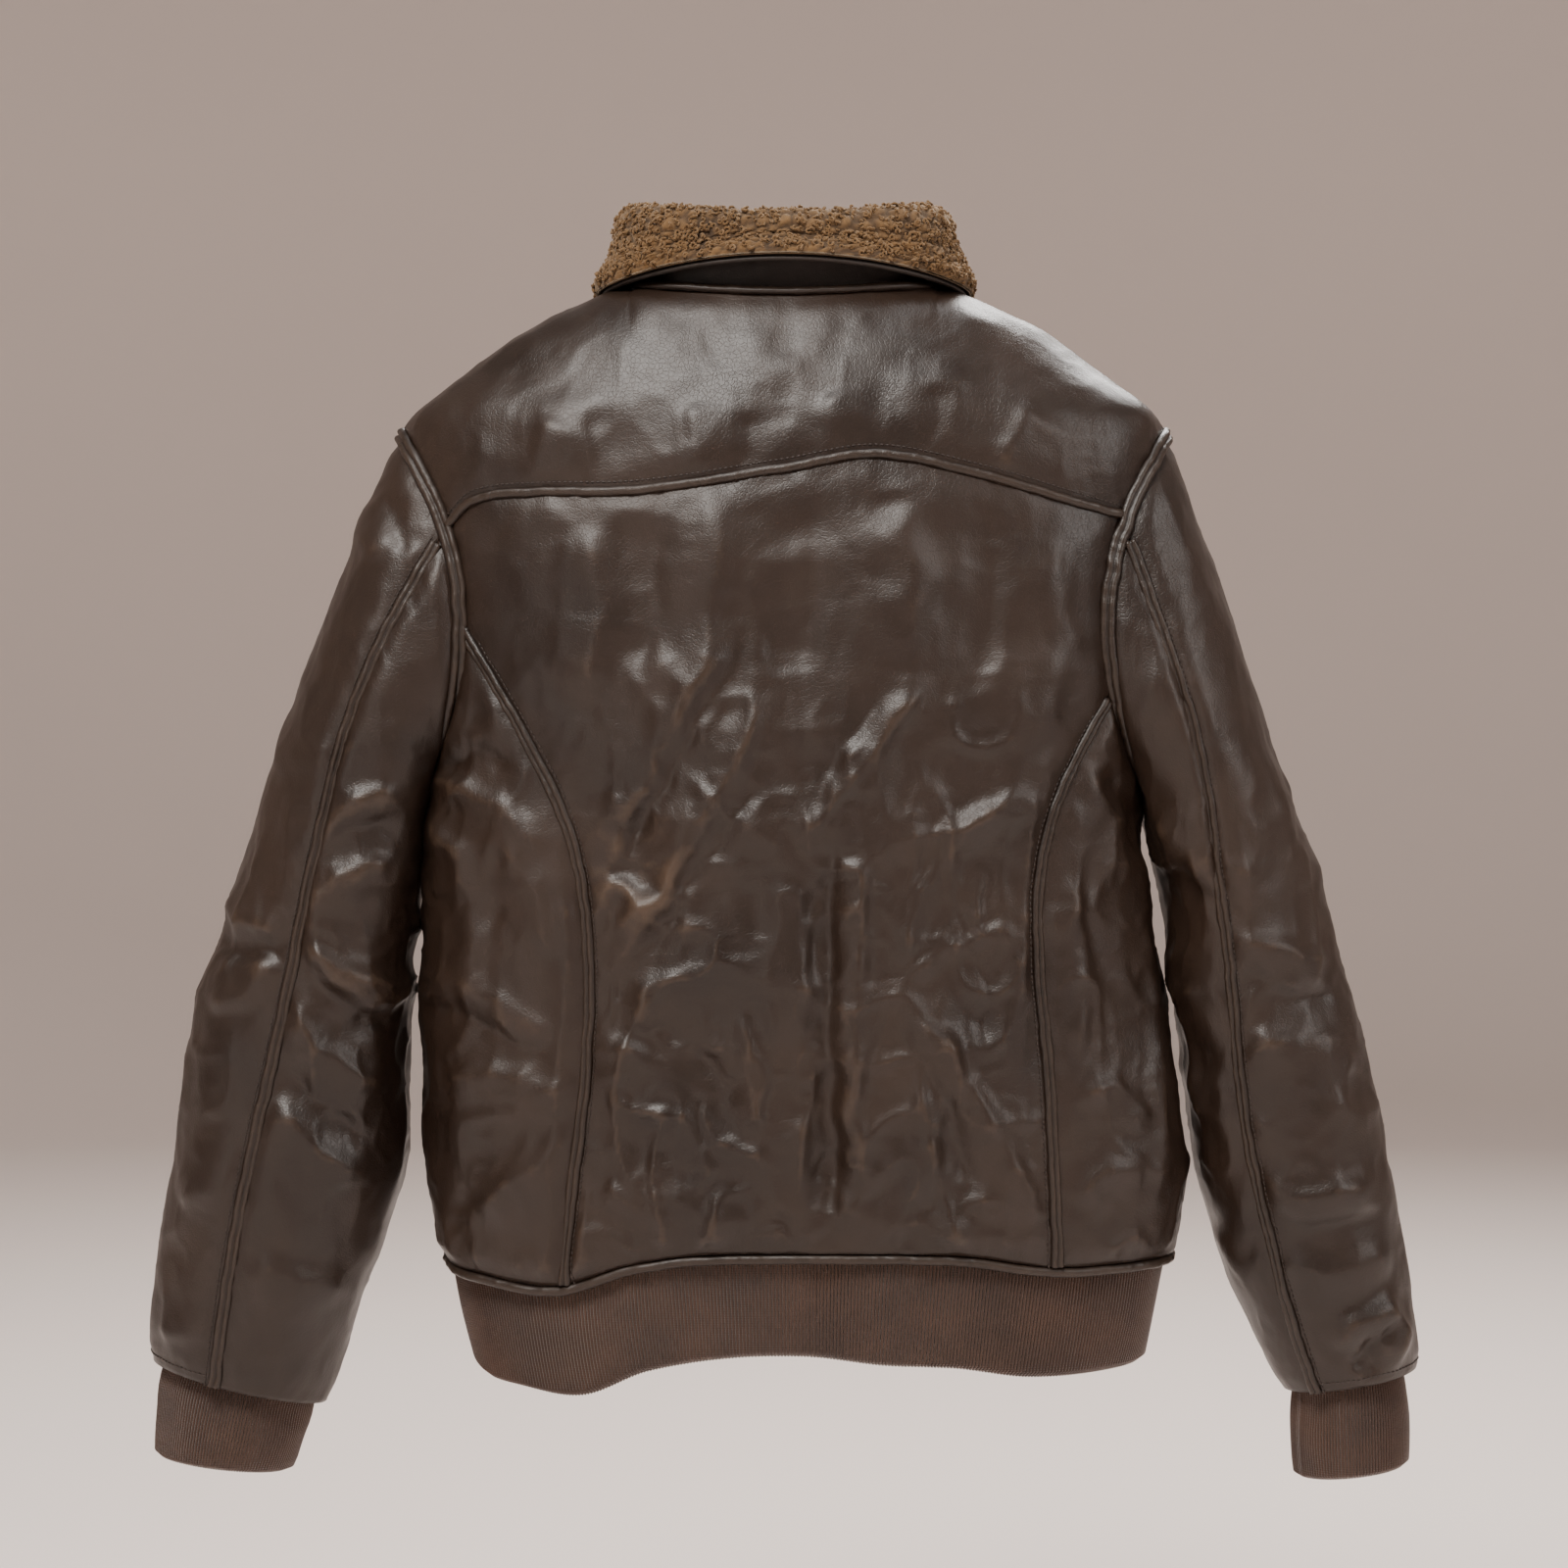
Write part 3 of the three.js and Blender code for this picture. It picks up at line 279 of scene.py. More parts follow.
def side_grid(side, nu, nv):
    princess = left_princess if side < 0 else right_princess
    u = np.linspace(0, 1, nu + 1)

    def angle_at(z):
        back = angle_of(princess(z), z, -1)
        front = angle_of(front_side_x(z, side), z, 1)
        return lerp(front, back, u) if side < 0 else lerp(back, front + 2 * math.pi, u)

    top = np.full(u.shape, SHOULDER_LEVEL)  # falls to the lowest level at which each column meets the armhole
    for z0 in np.arange(SHOULDER_LEVEL, ARMPIT_LEVEL - 0.0005, -0.0005):
        z = np.full(u.shape, z0)
        top = np.where(in_armhole(body_at(angle_at(z), z), side), z, top)
    foot = body_at(angle_at(np.full(u.shape, HEM_LEVEL)), np.full(u.shape, HEM_LEVEL))
    bottom = hem_at(foot[..., 0], foot[..., 1])
    rows = []
    for v in np.linspace(0, 1, nv + 1):
        z = lerp(bottom, top, v)
        rows.append(body_at(angle_at(z), z))
    return np.array(rows)


# ---------------------------------------------------------------- the sleeves' shape, as in the frame
SLEEVES = {
    "left": {
        "side": -1,
        "outer": [(240, -86), (277, -178), (307, -258), (344, -369), (369, -449), (391, -572), (402, -672)],
        "inner": [
            (224, -305), (233, -369), (240, -449), (241, -541), (251, -580), (268, -630), (290, -700),
        ],
        "cuff_outer": (399, -731),
        "cuff_inner": (315, -742),
        "back_seam": [(0, -65), (0.3, -76), (1, -80)],
    },
    "right": {
        "side": 1,
        "outer": [(240, -86), (271, -178), (298, -258), (332, -357), (358, -449), (383, -554), (403, -676)],
        "inner": [
            (224, -305), (240, -369), (253, -449), (262, -541), (275, -590), (292, -640), (317, -692),
        ],
        "cuff_outer": (396, -737),
        "cuff_inner": (327, -746),
        "back_seam": [(0, -63), (0.3, -108), (1, -130)],
    },
}
FRONT_SEAM_TURN = math.radians(112)
HEAD_SHARE = 0.26
SLEEVE_FORWARD = 18 * MM
sleeve_depth = through([(0, 65), (0.15, 72), (0.5, 64), (0.8, 59), (1, 47)], key_unit=1)


def even_curve(points):
    """A curve through points (x, z) in millimetres, read at a share of its length, in metres."""
    p = np.array(points, float) * MM
    p = np.concatenate([[2 * p[0] - p[1]], p, [2 * p[-1] - p[-2]]])
    knot = np.concatenate([[0], np.cumsum(np.linalg.norm(np.diff(p, axis=0), axis=1) ** 0.5)])
    dense = []
    for i in range(1, len(p) - 2):
        for t in np.linspace(knot[i], knot[i + 1], 40, endpoint=False):
            a1 = lerp(p[i - 1], p[i], (t - knot[i - 1]) / (knot[i] - knot[i - 1]))
            a2 = lerp(p[i], p[i + 1], (t - knot[i]) / (knot[i + 1] - knot[i]))
            a3 = lerp(p[i + 1], p[i + 2], (t - knot[i + 1]) / (knot[i + 2] - knot[i + 1]))
            b1 = lerp(a1, a2, (t - knot[i - 1]) / (knot[i + 1] - knot[i - 1]))
            b2 = lerp(a2, a3, (t - knot[i]) / (knot[i + 2] - knot[i]))
            dense.append(lerp(b1, b2, (t - knot[i]) / (knot[i + 1] - knot[i])))
    dense = np.array(dense + [p[-2]])
    run = np.concatenate([[0], np.cumsum(np.linalg.norm(np.diff(dense, axis=0), axis=1))])
    run /= run[-1]
    return lambda s: np.stack([np.interp(s, run, dense[:, 0]), np.interp(s, run, dense[:, 1])], -1)


def sleeve_surface(lines):
    side = lines["side"]
    outer, inner = even_curve(lines["outer"]), even_curve(lines["inner"])

    def at(angle, s):
        angle, s = np.broadcast_arrays(np.asarray(angle, float), np.asarray(s, float))
        c, sn = np.cos(angle), np.sin(angle)
        o, i = outer(np.clip(s, 0, 1)), inner(np.clip(s, 0, 1))
        place = (o + i) / 2 + (o - i) / 2 * c[..., None]
        y = SLEEVE_FORWARD * s**2 + sleeve_depth(s) * sn
        x, z = place[..., 0], place[..., 1]
        ring_z = ARM_MIDDLE + ARM_HALF * c
        ring_x = np.abs(armhole_x(ring_z, side))
        ring_y = np.where(
            sn < 0, -np.abs(face_at(side * ring_x, ring_z, -1)[..., 1]),
            np.abs(face_at(side * ring_x, ring_z, 1)[..., 1]),
        )
        o0, i0 = outer(0.0), inner(0.0)
        flat = (o0 + i0) / 2 + (o0 - i0) / 2 * c[..., None]
        fade = np.clip(1 - s / HEAD_SHARE, 0, 1) ** 2
        x = x + (ring_x - flat[..., 0]) * fade
        y = y + (ring_y - sleeve_depth(0.0) * sn) * fade
        z = z + (ring_z - flat[..., 1]) * fade
        return np.stack([side * x, y, z], -1)

    return at


# ---------------------------------------------------------------- grids of points
def normals_of(grid, flip=False, ring=False):
    if ring:
        across = np.roll(grid, -1, 1) - np.roll(grid, 1, 1)
    else:
        across = np.gradient(grid, axis=1)
    up = np.gradient(grid, axis=0)
    n = unit(np.cross(across, up))
    return -n if flip else n


def finer(grid, axis, ring=False):
    """The grid with a point put halfway between each two along one axis, on a smooth curve."""
    g = np.moveaxis(grid, axis, 0)
    if ring:
        before, after, beyond = np.roll(g, 1, 0), np.roll(g, -1, 0), np.roll(g, -2, 0)
        mid = (-before + 9 * g + 9 * after - beyond) / 16
        out = np.empty((2 * len(g),) + g.shape[1:])
        out[0::2], out[1::2] = g, mid
    else:
        wide = np.concatenate([[2 * g[0] - g[1]], g, [2 * g[-1] - g[-2]]])
        mid = (-wide[:-3] + 9 * wide[1:-2] + 9 * wide[2:-1] - wide[3:]) / 16
        out = np.empty((2 * len(g) - 1,) + g.shape[1:])
        out[0::2], out[1::2] = g, mid
    return np.moveaxis(out, 0, axis)


def blurred(field, steps):
    for _ in range(steps):
        f = np.pad(field, [(1, 1), (1, 1)] + [(0, 0)] * (field.ndim - 2), mode="edge")
        field = (f[:-2, 1:-1] + f[2:, 1:-1] + f[1:-1, :-2] + f[1:-1, 2:] + 4 * f[1:-1, 1:-1]) / 8
    return field


def mesh_piece(name, verts, faces, material, smooth_faces=True):
    mesh = bpy.data.meshes.new(name)
    mesh.from_pydata(
        [tuple(v) for v in np.asarray(verts, float).reshape(-1, 3)], [], [tuple(f) for f in faces],
    )
    mesh.validate()
    if smooth_faces:
        mesh.polygons.foreach_set("use_smooth", [True] * len(mesh.polygons))
    piece = bpy.data.objects.new(name, mesh)
    scene.collection.objects.link(piece)
    if material:
        mesh.materials.append(material)
    return piece


def grid_faces(rows, columns, ring=False, flip=False, start=0):
    j, i = np.meshgrid(np.arange(rows - 1), np.arange(columns if ring else columns - 1), indexing="ij")
    k = (i + 1) % columns
    quads = np.stack(
        [j * columns + i, j * columns + k, (j + 1) * columns + k, (j + 1) * columns + i], -1,
    ).reshape(-1, 4) + start
    return quads[:, ::-1] if flip else quads


def put_number(piece, name, values):
    layer = piece.data.attributes.new(name, "FLOAT", "POINT")
    layer.data.foreach_set("value", np.asarray(values, np.float32).ravel())


def shell_piece(name, grid, material, flip=False, ring=False, wall=2.6 * MM, numbers=None):
    """A sheet of leather with its edges turned under, from a grid of points on its face."""
    n = normals_of(grid, flip, ring)
    numbers = numbers or {}
    if not ring:
        grid = np.concatenate([grid[:, :1] - n[:, :1] * wall, grid, grid[:, -1:] - n[:, -1:] * wall], 1)
        n = np.concatenate([n[:, :1], n, n[:, -1:]], 1)
        numbers = {k: np.pad(v, [(0, 0), (1, 1)], mode="edge") for k, v in numbers.items()}
    grid = np.concatenate([grid[:1] - n[:1] * wall, grid, grid[-1:] - n[-1:] * wall], 0)
    numbers = {k: np.pad(v, [(1, 1), (0, 0)], mode="edge") for k, v in numbers.items()}
    rows, columns = grid.shape[:2]
    piece = mesh_piece(name, grid, grid_faces(rows, columns, ring, flip), material)
    for key, value in numbers.items():
        put_number(piece, key, value)
    return piece


def join_pieces(name, pieces):
    """One object from several, keeping their materials and numbers."""
    bpy.ops.object.select_all(action="DESELECT")
    for piece in pieces:
        piece.select_set(True)
    bpy.context.view_layer.objects.active = pieces[0]
    bpy.ops.object.join()
    pieces[0].name = name
    pieces[0].data.name = name
    return pieces[0]


# ---------------------------------------------------------------- materials
def new_material(name):
    material = bpy.data.materials.new(name)
    material.use_nodes = True
    tree = material.node_tree
    return material, tree, tree.nodes["Principled BSDF"]


def mix_colour(tree, factor, a, b):
    mix = tree.nodes.new("ShaderNodeMix")
    mix.data_type = "RGBA"
    tree.links.new(factor, mix.inputs["Factor"])
    for value, key in ((a, 6), (b, 7)):
        if isinstance(value, tuple):
            mix.inputs[key].default_value = value + (1,)
        else:
            tree.links.new(value, mix.inputs[key])
    return mix.outputs[2]


def noise_of(tree, coords, scale, detail=3.0, roughness=0.5, distortion=0.0):
    node = tree.nodes.new("ShaderNodeTexNoise")
    node.inputs["Scale"].default_value = scale
    node.inputs["Detail"].default_value = detail
    node.inputs["Roughness"].default_value = roughness
    node.inputs["Distortion"].default_value = distortion
    tree.links.new(coords, node.inputs["Vector"])
    return node.outputs["Fac"]


def cells_of(tree, coords, scale, feature="F1"):
    node = tree.nodes.new("ShaderNodeTexVoronoi")
    node.feature = feature
    node.inputs["Scale"].default_value = scale
    tree.links.new(coords, node.inputs["Vector"])
    return node.outputs["Distance"]


def ramp(tree, value, low, high, to_low=0.0, to_high=1.0):
    node = tree.nodes.new("ShaderNodeMapRange")
    node.inputs["From Min"].default_value = low
    node.inputs["From Max"].default_value = high
    node.inputs["To Min"].default_value = to_low
    node.inputs["To Max"].default_value = to_high
    tree.links.new(value, node.inputs["Value"])
    return node.outputs["Result"]


def sum_of(tree, a, b, weight):
    node = tree.nodes.new("ShaderNodeMath")
    node.operation = "MULTIPLY_ADD"
    tree.links.new(b, node.inputs[0])
    node.inputs[1].default_value = weight
    tree.links.new(a, node.inputs[2])
    return node.outputs[0]


def bump_of(tree, height, strength, distance, before=None):
    node = tree.nodes.new("ShaderNodeBump")
    node.inputs["Strength"].default_value = strength
    node.inputs["Distance"].default_value = distance
    tree.links.new(height, node.inputs["Height"])
    if before:
        tree.links.new(before, node.inputs["Normal"])
    return node.outputs["Normal"]


def object_coords(tree):
    return tree.nodes.new("ShaderNodeTexCoord").outputs["Object"]


def number_of(tree, name):
    node = tree.nodes.new("ShaderNodeAttribute")
    node.attribute_name = name
    return node.outputs["Fac"]


def leather_material(name, deep, body, worn_and_lit, gloss=0.37, grain=1.0):
    material, tree, shader = new_material(name)
    coords = object_coords(tree)
    cloud = noise_of(tree, coords, 9, 4, 0.6)
    speck = noise_of(tree, coords, 120, 3, 0.6)
    tone = mix_colour(tree, ramp(tree, cloud, 0.35, 0.68), deep, body)
    # The worn colour is partly real wear and partly a painted highlight: it goes where the wear_and_highlight
    # number is high, on the crests of folds and welts and on rounded edges.
    rubbed_and_lit = sum_of(tree, number_of(tree, "wear_and_highlight"), ramp(tree, speck, 0.3, 0.7, -0.3, 0.3), 0.45)
    tone = mix_colour(tree, ramp(tree, rubbed_and_lit, 0.25, 1.6), tone, worn_and_lit)
    tree.links.new(tone, shader.inputs["Base Color"])
    sheen = sum_of(tree, ramp(tree, cloud, 0.3, 0.7, gloss - 0.05, gloss + 0.07), speck, 0.07)
    tree.links.new(sheen, shader.inputs["Roughness"])
    ridges = tree.nodes.new("ShaderNodeTexNoise")
    ridges.noise_type = "RIDGED_MULTIFRACTAL"
    ridges.inputs["Scale"].default_value = 22
    ridges.inputs["Detail"].default_value = 4
    ridges.inputs["Roughness"].default_value = 0.52
    ridges.inputs["Distortion"].default_value = 0.9
    tree.links.new(coords, ridges.inputs["Vector"])
    crumple = tree.nodes.new("ShaderNodeMath")
    crumple.operation = "MULTIPLY"
    tree.links.new(ridges.outputs["Fac"], crumple.inputs[0])
    tree.links.new(number_of(tree, "crumple"), crumple.inputs[1])
    creased = bump_of(tree, crumple.outputs[0], 0.9, 3.4 * MM)
    pebble = cells_of(tree, coords, 950)
    crease = cells_of(tree, coords, 330, "DISTANCE_TO_EDGE")
    fine = noise_of(tree, coords, 1400, 2)
    grain_height = sum_of(tree, ramp(tree, pebble, 0.0, 0.7, 0.0, 1.0), fine, 0.35)
    normal = bump_of(tree, ramp(tree, crease, 0.0, 0.12), 0.22 * grain, 0.25 * MM, creased)
    normal = bump_of(tree, grain_height, 0.30 * grain, 0.16 * MM, normal)
    tree.links.new(normal, shader.inputs["Normal"])
    shader.inputs["Specular IOR Level"].default_value = 0.42
    return material


def cloth_material(name, dark, light, weave_scale, rough, bump=0.3, sheen=0.0):
    material, tree, shader = new_material(name)
    coords = object_coords(tree)
    waves = tree.nodes.new("ShaderNodeTexWave")
    waves.bands_direction = "DIAGONAL"
    waves.inputs["Scale"].default_value = weave_scale
    waves.inputs["Distortion"].default_value = 1.5
    tree.links.new(coords, waves.inputs["Vector"])
    cloud = noise_of(tree, coords, 40, 4)
    tone = mix_colour(tree, ramp(tree, cloud, 0.3, 0.7), dark, light)
    tree.links.new(tone, shader.inputs["Base Color"])
    tree.links.new(bump_of(tree, waves.outputs["Fac"], bump, 0.15 * MM), shader.inputs["Normal"])
    shader.inputs["Roughness"].default_value = rough
    shader.inputs["Sheen Weight"].default_value = sheen
    return material


def knit_material(name, dark, light):
    material, tree, shader = new_material(name)
    coords = object_coords(tree)
    cloud = noise_of(tree, coords, 25, 4, 0.6)
    fibre = noise_of(tree, coords, 900, 4, 0.7, 1.0)
    tone = mix_colour(tree, ramp(tree, sum_of(tree, cloud, fibre, 0.6), 0.55, 1.1), dark, light)
    tree.links.new(tone, shader.inputs["Base Color"])
    loops = tree.nodes.new("ShaderNodeTexWave")
    loops.bands_direction = "Z"
    loops.inputs["Scale"].default_value = 210
    loops.inputs["Distortion"].default_value = 2.0
    loops.inputs["Detail Scale"].default_value = 3.0
    tree.links.new(coords, loops.inputs["Vector"])
    height = sum_of(tree, loops.outputs["Fac"], fibre, 0.8)
    tree.links.new(bump_of(tree, height, 0.55, 0.3 * MM), shader.inputs["Normal"])
    shader.inputs["Roughness"].default_value = 0.92
    shader.inputs["Sheen Weight"].default_value = 0.25
    shader.inputs["Sheen Roughness"].default_value = 0.5
    return material


def pile_material(name, dark, middle, light):
    material, tree, shader = new_material(name)
    coords = object_coords(tree)
    cloud = noise_of(tree, coords, 60, 5, 0.65)
    fibre = noise_of(tree, coords, 700, 4, 0.7, 2.0)
    tone = mix_colour(tree, ramp(tree, cloud, 0.35, 0.65), dark, middle)
    # The light colour is a painted highlight, laid on the tufts' crowns and on the curls.
    painted_highlight = sum_of(tree, number_of(tree, "painted_highlight"), fibre, 0.45)
    tone = mix_colour(tree, ramp(tree, painted_highlight, 0.35, 1.25), tone, light)
    tree.links.new(tone, shader.inputs["Base Color"])
    tree.links.new(bump_of(tree, fibre, 0.8, 0.5 * MM), shader.inputs["Normal"])
    shader.inputs["Roughness"].default_value = 0.88
    shader.inputs["Sheen Weight"].default_value = 0.35
    shader.inputs["Sheen Roughness"].default_value = 0.45
    shader.inputs["Sheen Tint"].default_value = (0.9, 0.7, 0.5, 1)
    return material


def brass_material(name):
    material, tree, shader = new_material(name)
    coords = object_coords(tree)
    cloud = noise_of(tree, coords, 160, 4, 0.6)
    scratch = noise_of(tree, coords, 1500, 3, 0.7, 1.0)
    tone = mix_colour(tree, ramp(tree, cloud, 0.35, 0.7), (0.36, 0.25, 0.12), (0.13, 0.09, 0.05))
    tree.links.new(tone, shader.inputs["Base Color"])
    tree.links.new(
        ramp(tree, sum_of(tree, cloud, scratch, 0.5), 0.4, 1.0, 0.24, 0.5), shader.inputs["Roughness"],
    )
    tree.links.new(bump_of(tree, scratch, 0.1, 0.05 * MM), shader.inputs["Normal"])
    shader.inputs["Metallic"].default_value = 1
    return material


def thread_material(name, colour):
    material, tree, shader = new_material(name)
    coords = object_coords(tree)
    twist = noise_of(tree, coords, 1200, 2)
    tone = mix_colour(tree, ramp(tree, twist, 0.3, 0.7), colour, tuple(1.5 * c for c in colour))
    tree.links.new(tone, shader.inputs["Base Color"])
    tree.links.new(bump_of(tree, twist, 0.5, 0.1 * MM), shader.inputs["Normal"])
    shader.inputs["Roughness"].default_value = 0.6
    return material


# Each leather's third colour is its worn colour, also used as a painted highlight colour.
LEATHER = leather_material(
    "brown leather", (0.0125, 0.0066, 0.0041), (0.0250, 0.0138, 0.0086), (0.100, 0.063, 0.039),
)
EDGE_LEATHER = leather_material(
    "edge leather", (0.010, 0.0054, 0.0034), (0.019, 0.0108, 0.0070), (0.055, 0.035, 0.023), gloss=0.40,
)
UNDER_LEATHER = leather_material(
    "collar underside leather", (0.012, 0.008, 0.006), (0.019, 0.012, 0.009), (0.04, 0.028, 0.02), gloss=0.5,
)
KNIT = knit_material("ribbed wool", (0.026, 0.0105, 0.0055), (0.060, 0.027, 0.0145))
# The pile's third colour is a painted highlight colour.
PILE = pile_material("curly pile", (0.026, 0.0125, 0.0042), (0.062, 0.031, 0.0095), (0.165, 0.088, 0.030))
LINING = cloth_material("satin lining", (0.018, 0.011, 0.008), (0.028, 0.017, 0.012), 900, 0.42, 0.12, 0.1)
TAPE = cloth_material("woven zip tape", (0.012, 0.008, 0.006), (0.022, 0.015, 0.011), 1500, 0.8, 0.6, 0.2)
LABEL = cloth_material(
    "blank woven label", (0.030, 0.022, 0.016), (0.045, 0.033, 0.024), 1300, 0.7, 0.4, 0.2,
)
BRASS = brass_material("aged brass")
THREAD = thread_material("waxed thread", (0.018, 0.011, 0.008))


# ---------------------------------------------------------------- leather panels: their cut
def even_steps(grid, axis, count):
    """The same lines along one axis, each with count + 1 points evenly spaced along it."""
    g = np.moveaxis(grid, axis, 0)
    run = np.concatenate(
        [np.zeros((1,) + g.shape[1:-1]), np.cumsum(np.linalg.norm(np.diff(g, axis=0), axis=-1), 0)]
    )
    share = run / run[-1]
    out = np.empty((count + 1,) + g.shape[1:])
    for k in range(g.shape[1]):
        for c in range(3):
            out[:, k, c] = np.interp(np.linspace(0, 1, count + 1), share[:, k], g[:, k, c])
    return np.moveaxis(out, 0, axis)


def cut_even(grid, spacing=GRID):
    """A panel's grid with points about a spacing apart both ways."""
    rows = int(np.linalg.norm(np.diff(grid, axis=0), axis=-1).sum(0).mean() / spacing) + 1
    columns = int(np.linalg.norm(np.diff(grid, axis=1), axis=-1).sum(1).mean() / spacing) + 1
    return even_steps(even_steps(grid, 0, rows), 1, columns)


def back_edge(side):
    princess = left_princess if side < 0 else right_princess
    pick = np.maximum if side < 0 else np.minimum
    return lambda z: pick(princess(z), armhole_x(z, side))


def front_edge(side):
    def at(z):
        seam = side * front_side_x(z, side)
        edge = side * outer_edge(np.maximum(z, ARMPIT_LEVEL), side)
        return side * np.where(z > ARM_MIDDLE, edge, np.minimum(seam, edge))

    return at


def front_grid(side):
    inner = lambda z: np.full(np.shape(z), side * ZIP_GAP)
    left, right = (front_edge(-1), inner) if side < 0 else (inner, front_edge(1))
    hem = lambda x: np.full(np.shape(x), HEM_LEVEL)
    return closed_shoulders(panel_grid(1, left, right, hem, lambda x: eased_top(x, 1), 60, 150, gather=2.5))


surfaces = {name: sleeve_surface(lines) for name, lines in SLEEVES.items()}


def seam_turn(lines):
    return through(lines["back_seam"], key_unit=1, unit=math.pi / 180)


def sleeve_grid(name, under):
    lines, at = SLEEVES[name], surfaces[name]
    turn = seam_turn(lines)
    s, u = np.meshgrid(np.linspace(0.007, 1, 180), np.linspace(0, 1, 70), indexing="ij")
    rear = turn(s)
    angle = lerp(FRONT_SEAM_TURN, rear + 2 * math.pi, u) if under else lerp(rear, FRONT_SEAM_TURN, u)
    return at(angle, s)


panels = {}


def add_panel(name, grid, flip, body, node, hold, sides):
    """sides: how much each seam pulls the leather in and puckers it, as bottom, top, left, right."""
    panels[name] = {
        "grid": cut_even(grid),
        "flip": flip,
        "body": body,
        "node": node,
        "hold": hold,
        "sides": sides,
    }


hem_back = lambda x: hem_at(x, np.full(np.shape(x), -0.05))
yoke_cut = panel_grid(
    -1, lambda z: outer_edge(z, -1), lambda z: outer_edge(z, 1), yoke_seam, lambda x: eased_top(x, -1), 120,
    60, gather=2.5,
)
back_cut = panel_grid(-1, back_edge(-1), back_edge(1), hem_back, yoke_seam, 110, 110)
add_panel("yoke", closed_shoulders(yoke_cut), False, "torso", "back_yoke", 0.55, (1.2, 0.4, 0.8, 0.8))
add_panel("back", back_cut, False, "torso", "back_panel", 0.36, (1.2, 0.8, 1.0, 1.0))
add_panel(
    "side_left", side_grid(-1, 40, 100), False, "torso", "side_panel_left", 0.34, (1.2, 1.0, 1.2, 1.2),
)
add_panel(
    "side_right", side_grid(1, 40, 100), False, "torso", "side_panel_right", 0.34, (1.2, 1.0, 1.2, 1.2),
)
add_panel("front_left", front_grid(-1), True, "torso", "front_panel_left", 0.45, (1.0, 0.8, 1.0, 0.5))
add_panel("front_right", front_grid(1), True, "torso", "front_panel_right", 0.45, (1.0, 0.8, 0.5, 1.0))
for name in ("left", "right"):
    flip = SLEEVES[name]["side"] > 0
    add_panel(
        f"top_{name}", sleeve_grid(name, False), flip, f"sleeve_{name}", f"top_sleeve_{name}", 0.42,
        (1.2, 1.0, 1.0, 1.0),
    )
    add_panel(
        f"under_{name}", sleeve_grid(name, True), flip, f"sleeve_{name}", f"under_sleeve_{name}", 0.36,
        (1.2, 1.0, 1.0, 1.0),
    )


# ---------------------------------------------------------------- leather panels: their folds
# Each fold is its path as (x, height) points, how wide it is, and how high, or how deep if negative.
BACK_FOLDS = [
    ([(-22, -205), (-62, -271), (-92, -326), (-113, -376)], 9, 3.6),
    ([(-34, -240), (-68, -301), (-98, -360)], 5, -2.2),
    ([(2, -240), (-37, -308), (-68, -366), (-92, -404), (-117, -438)], 7, 3.0),
    ([(-10, -300), (-46, -352), (-84, -420)], 6, -2.0),
    ([(88, -240), (43, -301), (10, -342)], 6, 2.8),
    ([(64, -250), (38, -286), (22, -312)], 5, -1.8),
    ([(68, -135), (80, -185), (72, -240)], 15, 3.0),
    ([(-37, -132), (-40, -185), (-46, -234), (-64, -283)], 13, 2.6),
    ([(-123, -148), (-106, -197), (-123, -262)], 14, 3.0),
    ([(-80, -140), (-76, -200), (-92, -250)], 12, -2.4),
    ([(20, -130), (18, -190), (8, -250)], 14, -2.2),
    ([(120, -130), (126, -190), (112, -262)], 13, -2.4),
    ([(160, -150), (169, -221), (146, -290)], 13, 2.6),
    ([(29, -330), (27, -400), (26, -461), (31, -541), (28, -600)], 9, -5.2),
    ([(44, -345), (46, -420), (41, -480), (47, -560)], 9, 3.0),
    ([(8, -360), (12, -430), (8, -500), (14, -580)], 10, 2.4),
    ([(65, -431), (98, -467), (129, -523), (162, -580)], 8, 3.6),
    ([(70, -455), (96, -500), (118, -560)], 7, -2.8),
    ([(65, -431), (98, -406), (143, -392)], 6, 2.8),
    ([(65, -431), (82, -369), (117, -326), (150, -306)], 6, 2.6),
    ([(65, -431), (44, -480), (34, -524)], 6, 2.2),
    ([(100, -370), (118, -420), (124, -470)], 7, -2.4),
    ([(-105, -398), (-74, -372), (-62, -344)], 6, 2.4),
    ([(-108, -360), (-84, -380), (-48, -372)], 5, 1.8),
    ([(-117, -452), (-74, -480), (-37, -523), (0, -541)], 7, 3.0),
    ([(-100, -448), (-60, -462), (-22, -500)], 6, -2.2),
    ([(-92, -500), (-60, -508), (-44, -540), (-58, -560)], 5, 2.2),
    ([(-84, -470), (-52, -500), (-48, -530)], 4, -1.8),
    ([(-112, -548), (-84, -566), (-58, -586)], 6, 2.4),
    ([(-30, -440), (-12, -480), (-20, -520)], 5, 2.0),
    ([(98, -480), (88, -540), (80, -580)], 6, 2.0),
    ([(120, -356), (114, -406), (122, -455)], 5, 1.8),
    ([(-60, -300), (-30, -330), (4, -345)], 5, 1.4),
    ([(-6, -560), (4, -582), (20, -596)], 4, -2.4),
    ([(-20, -584), (-4, -576), (10, -590)], 4, 2.0),
]
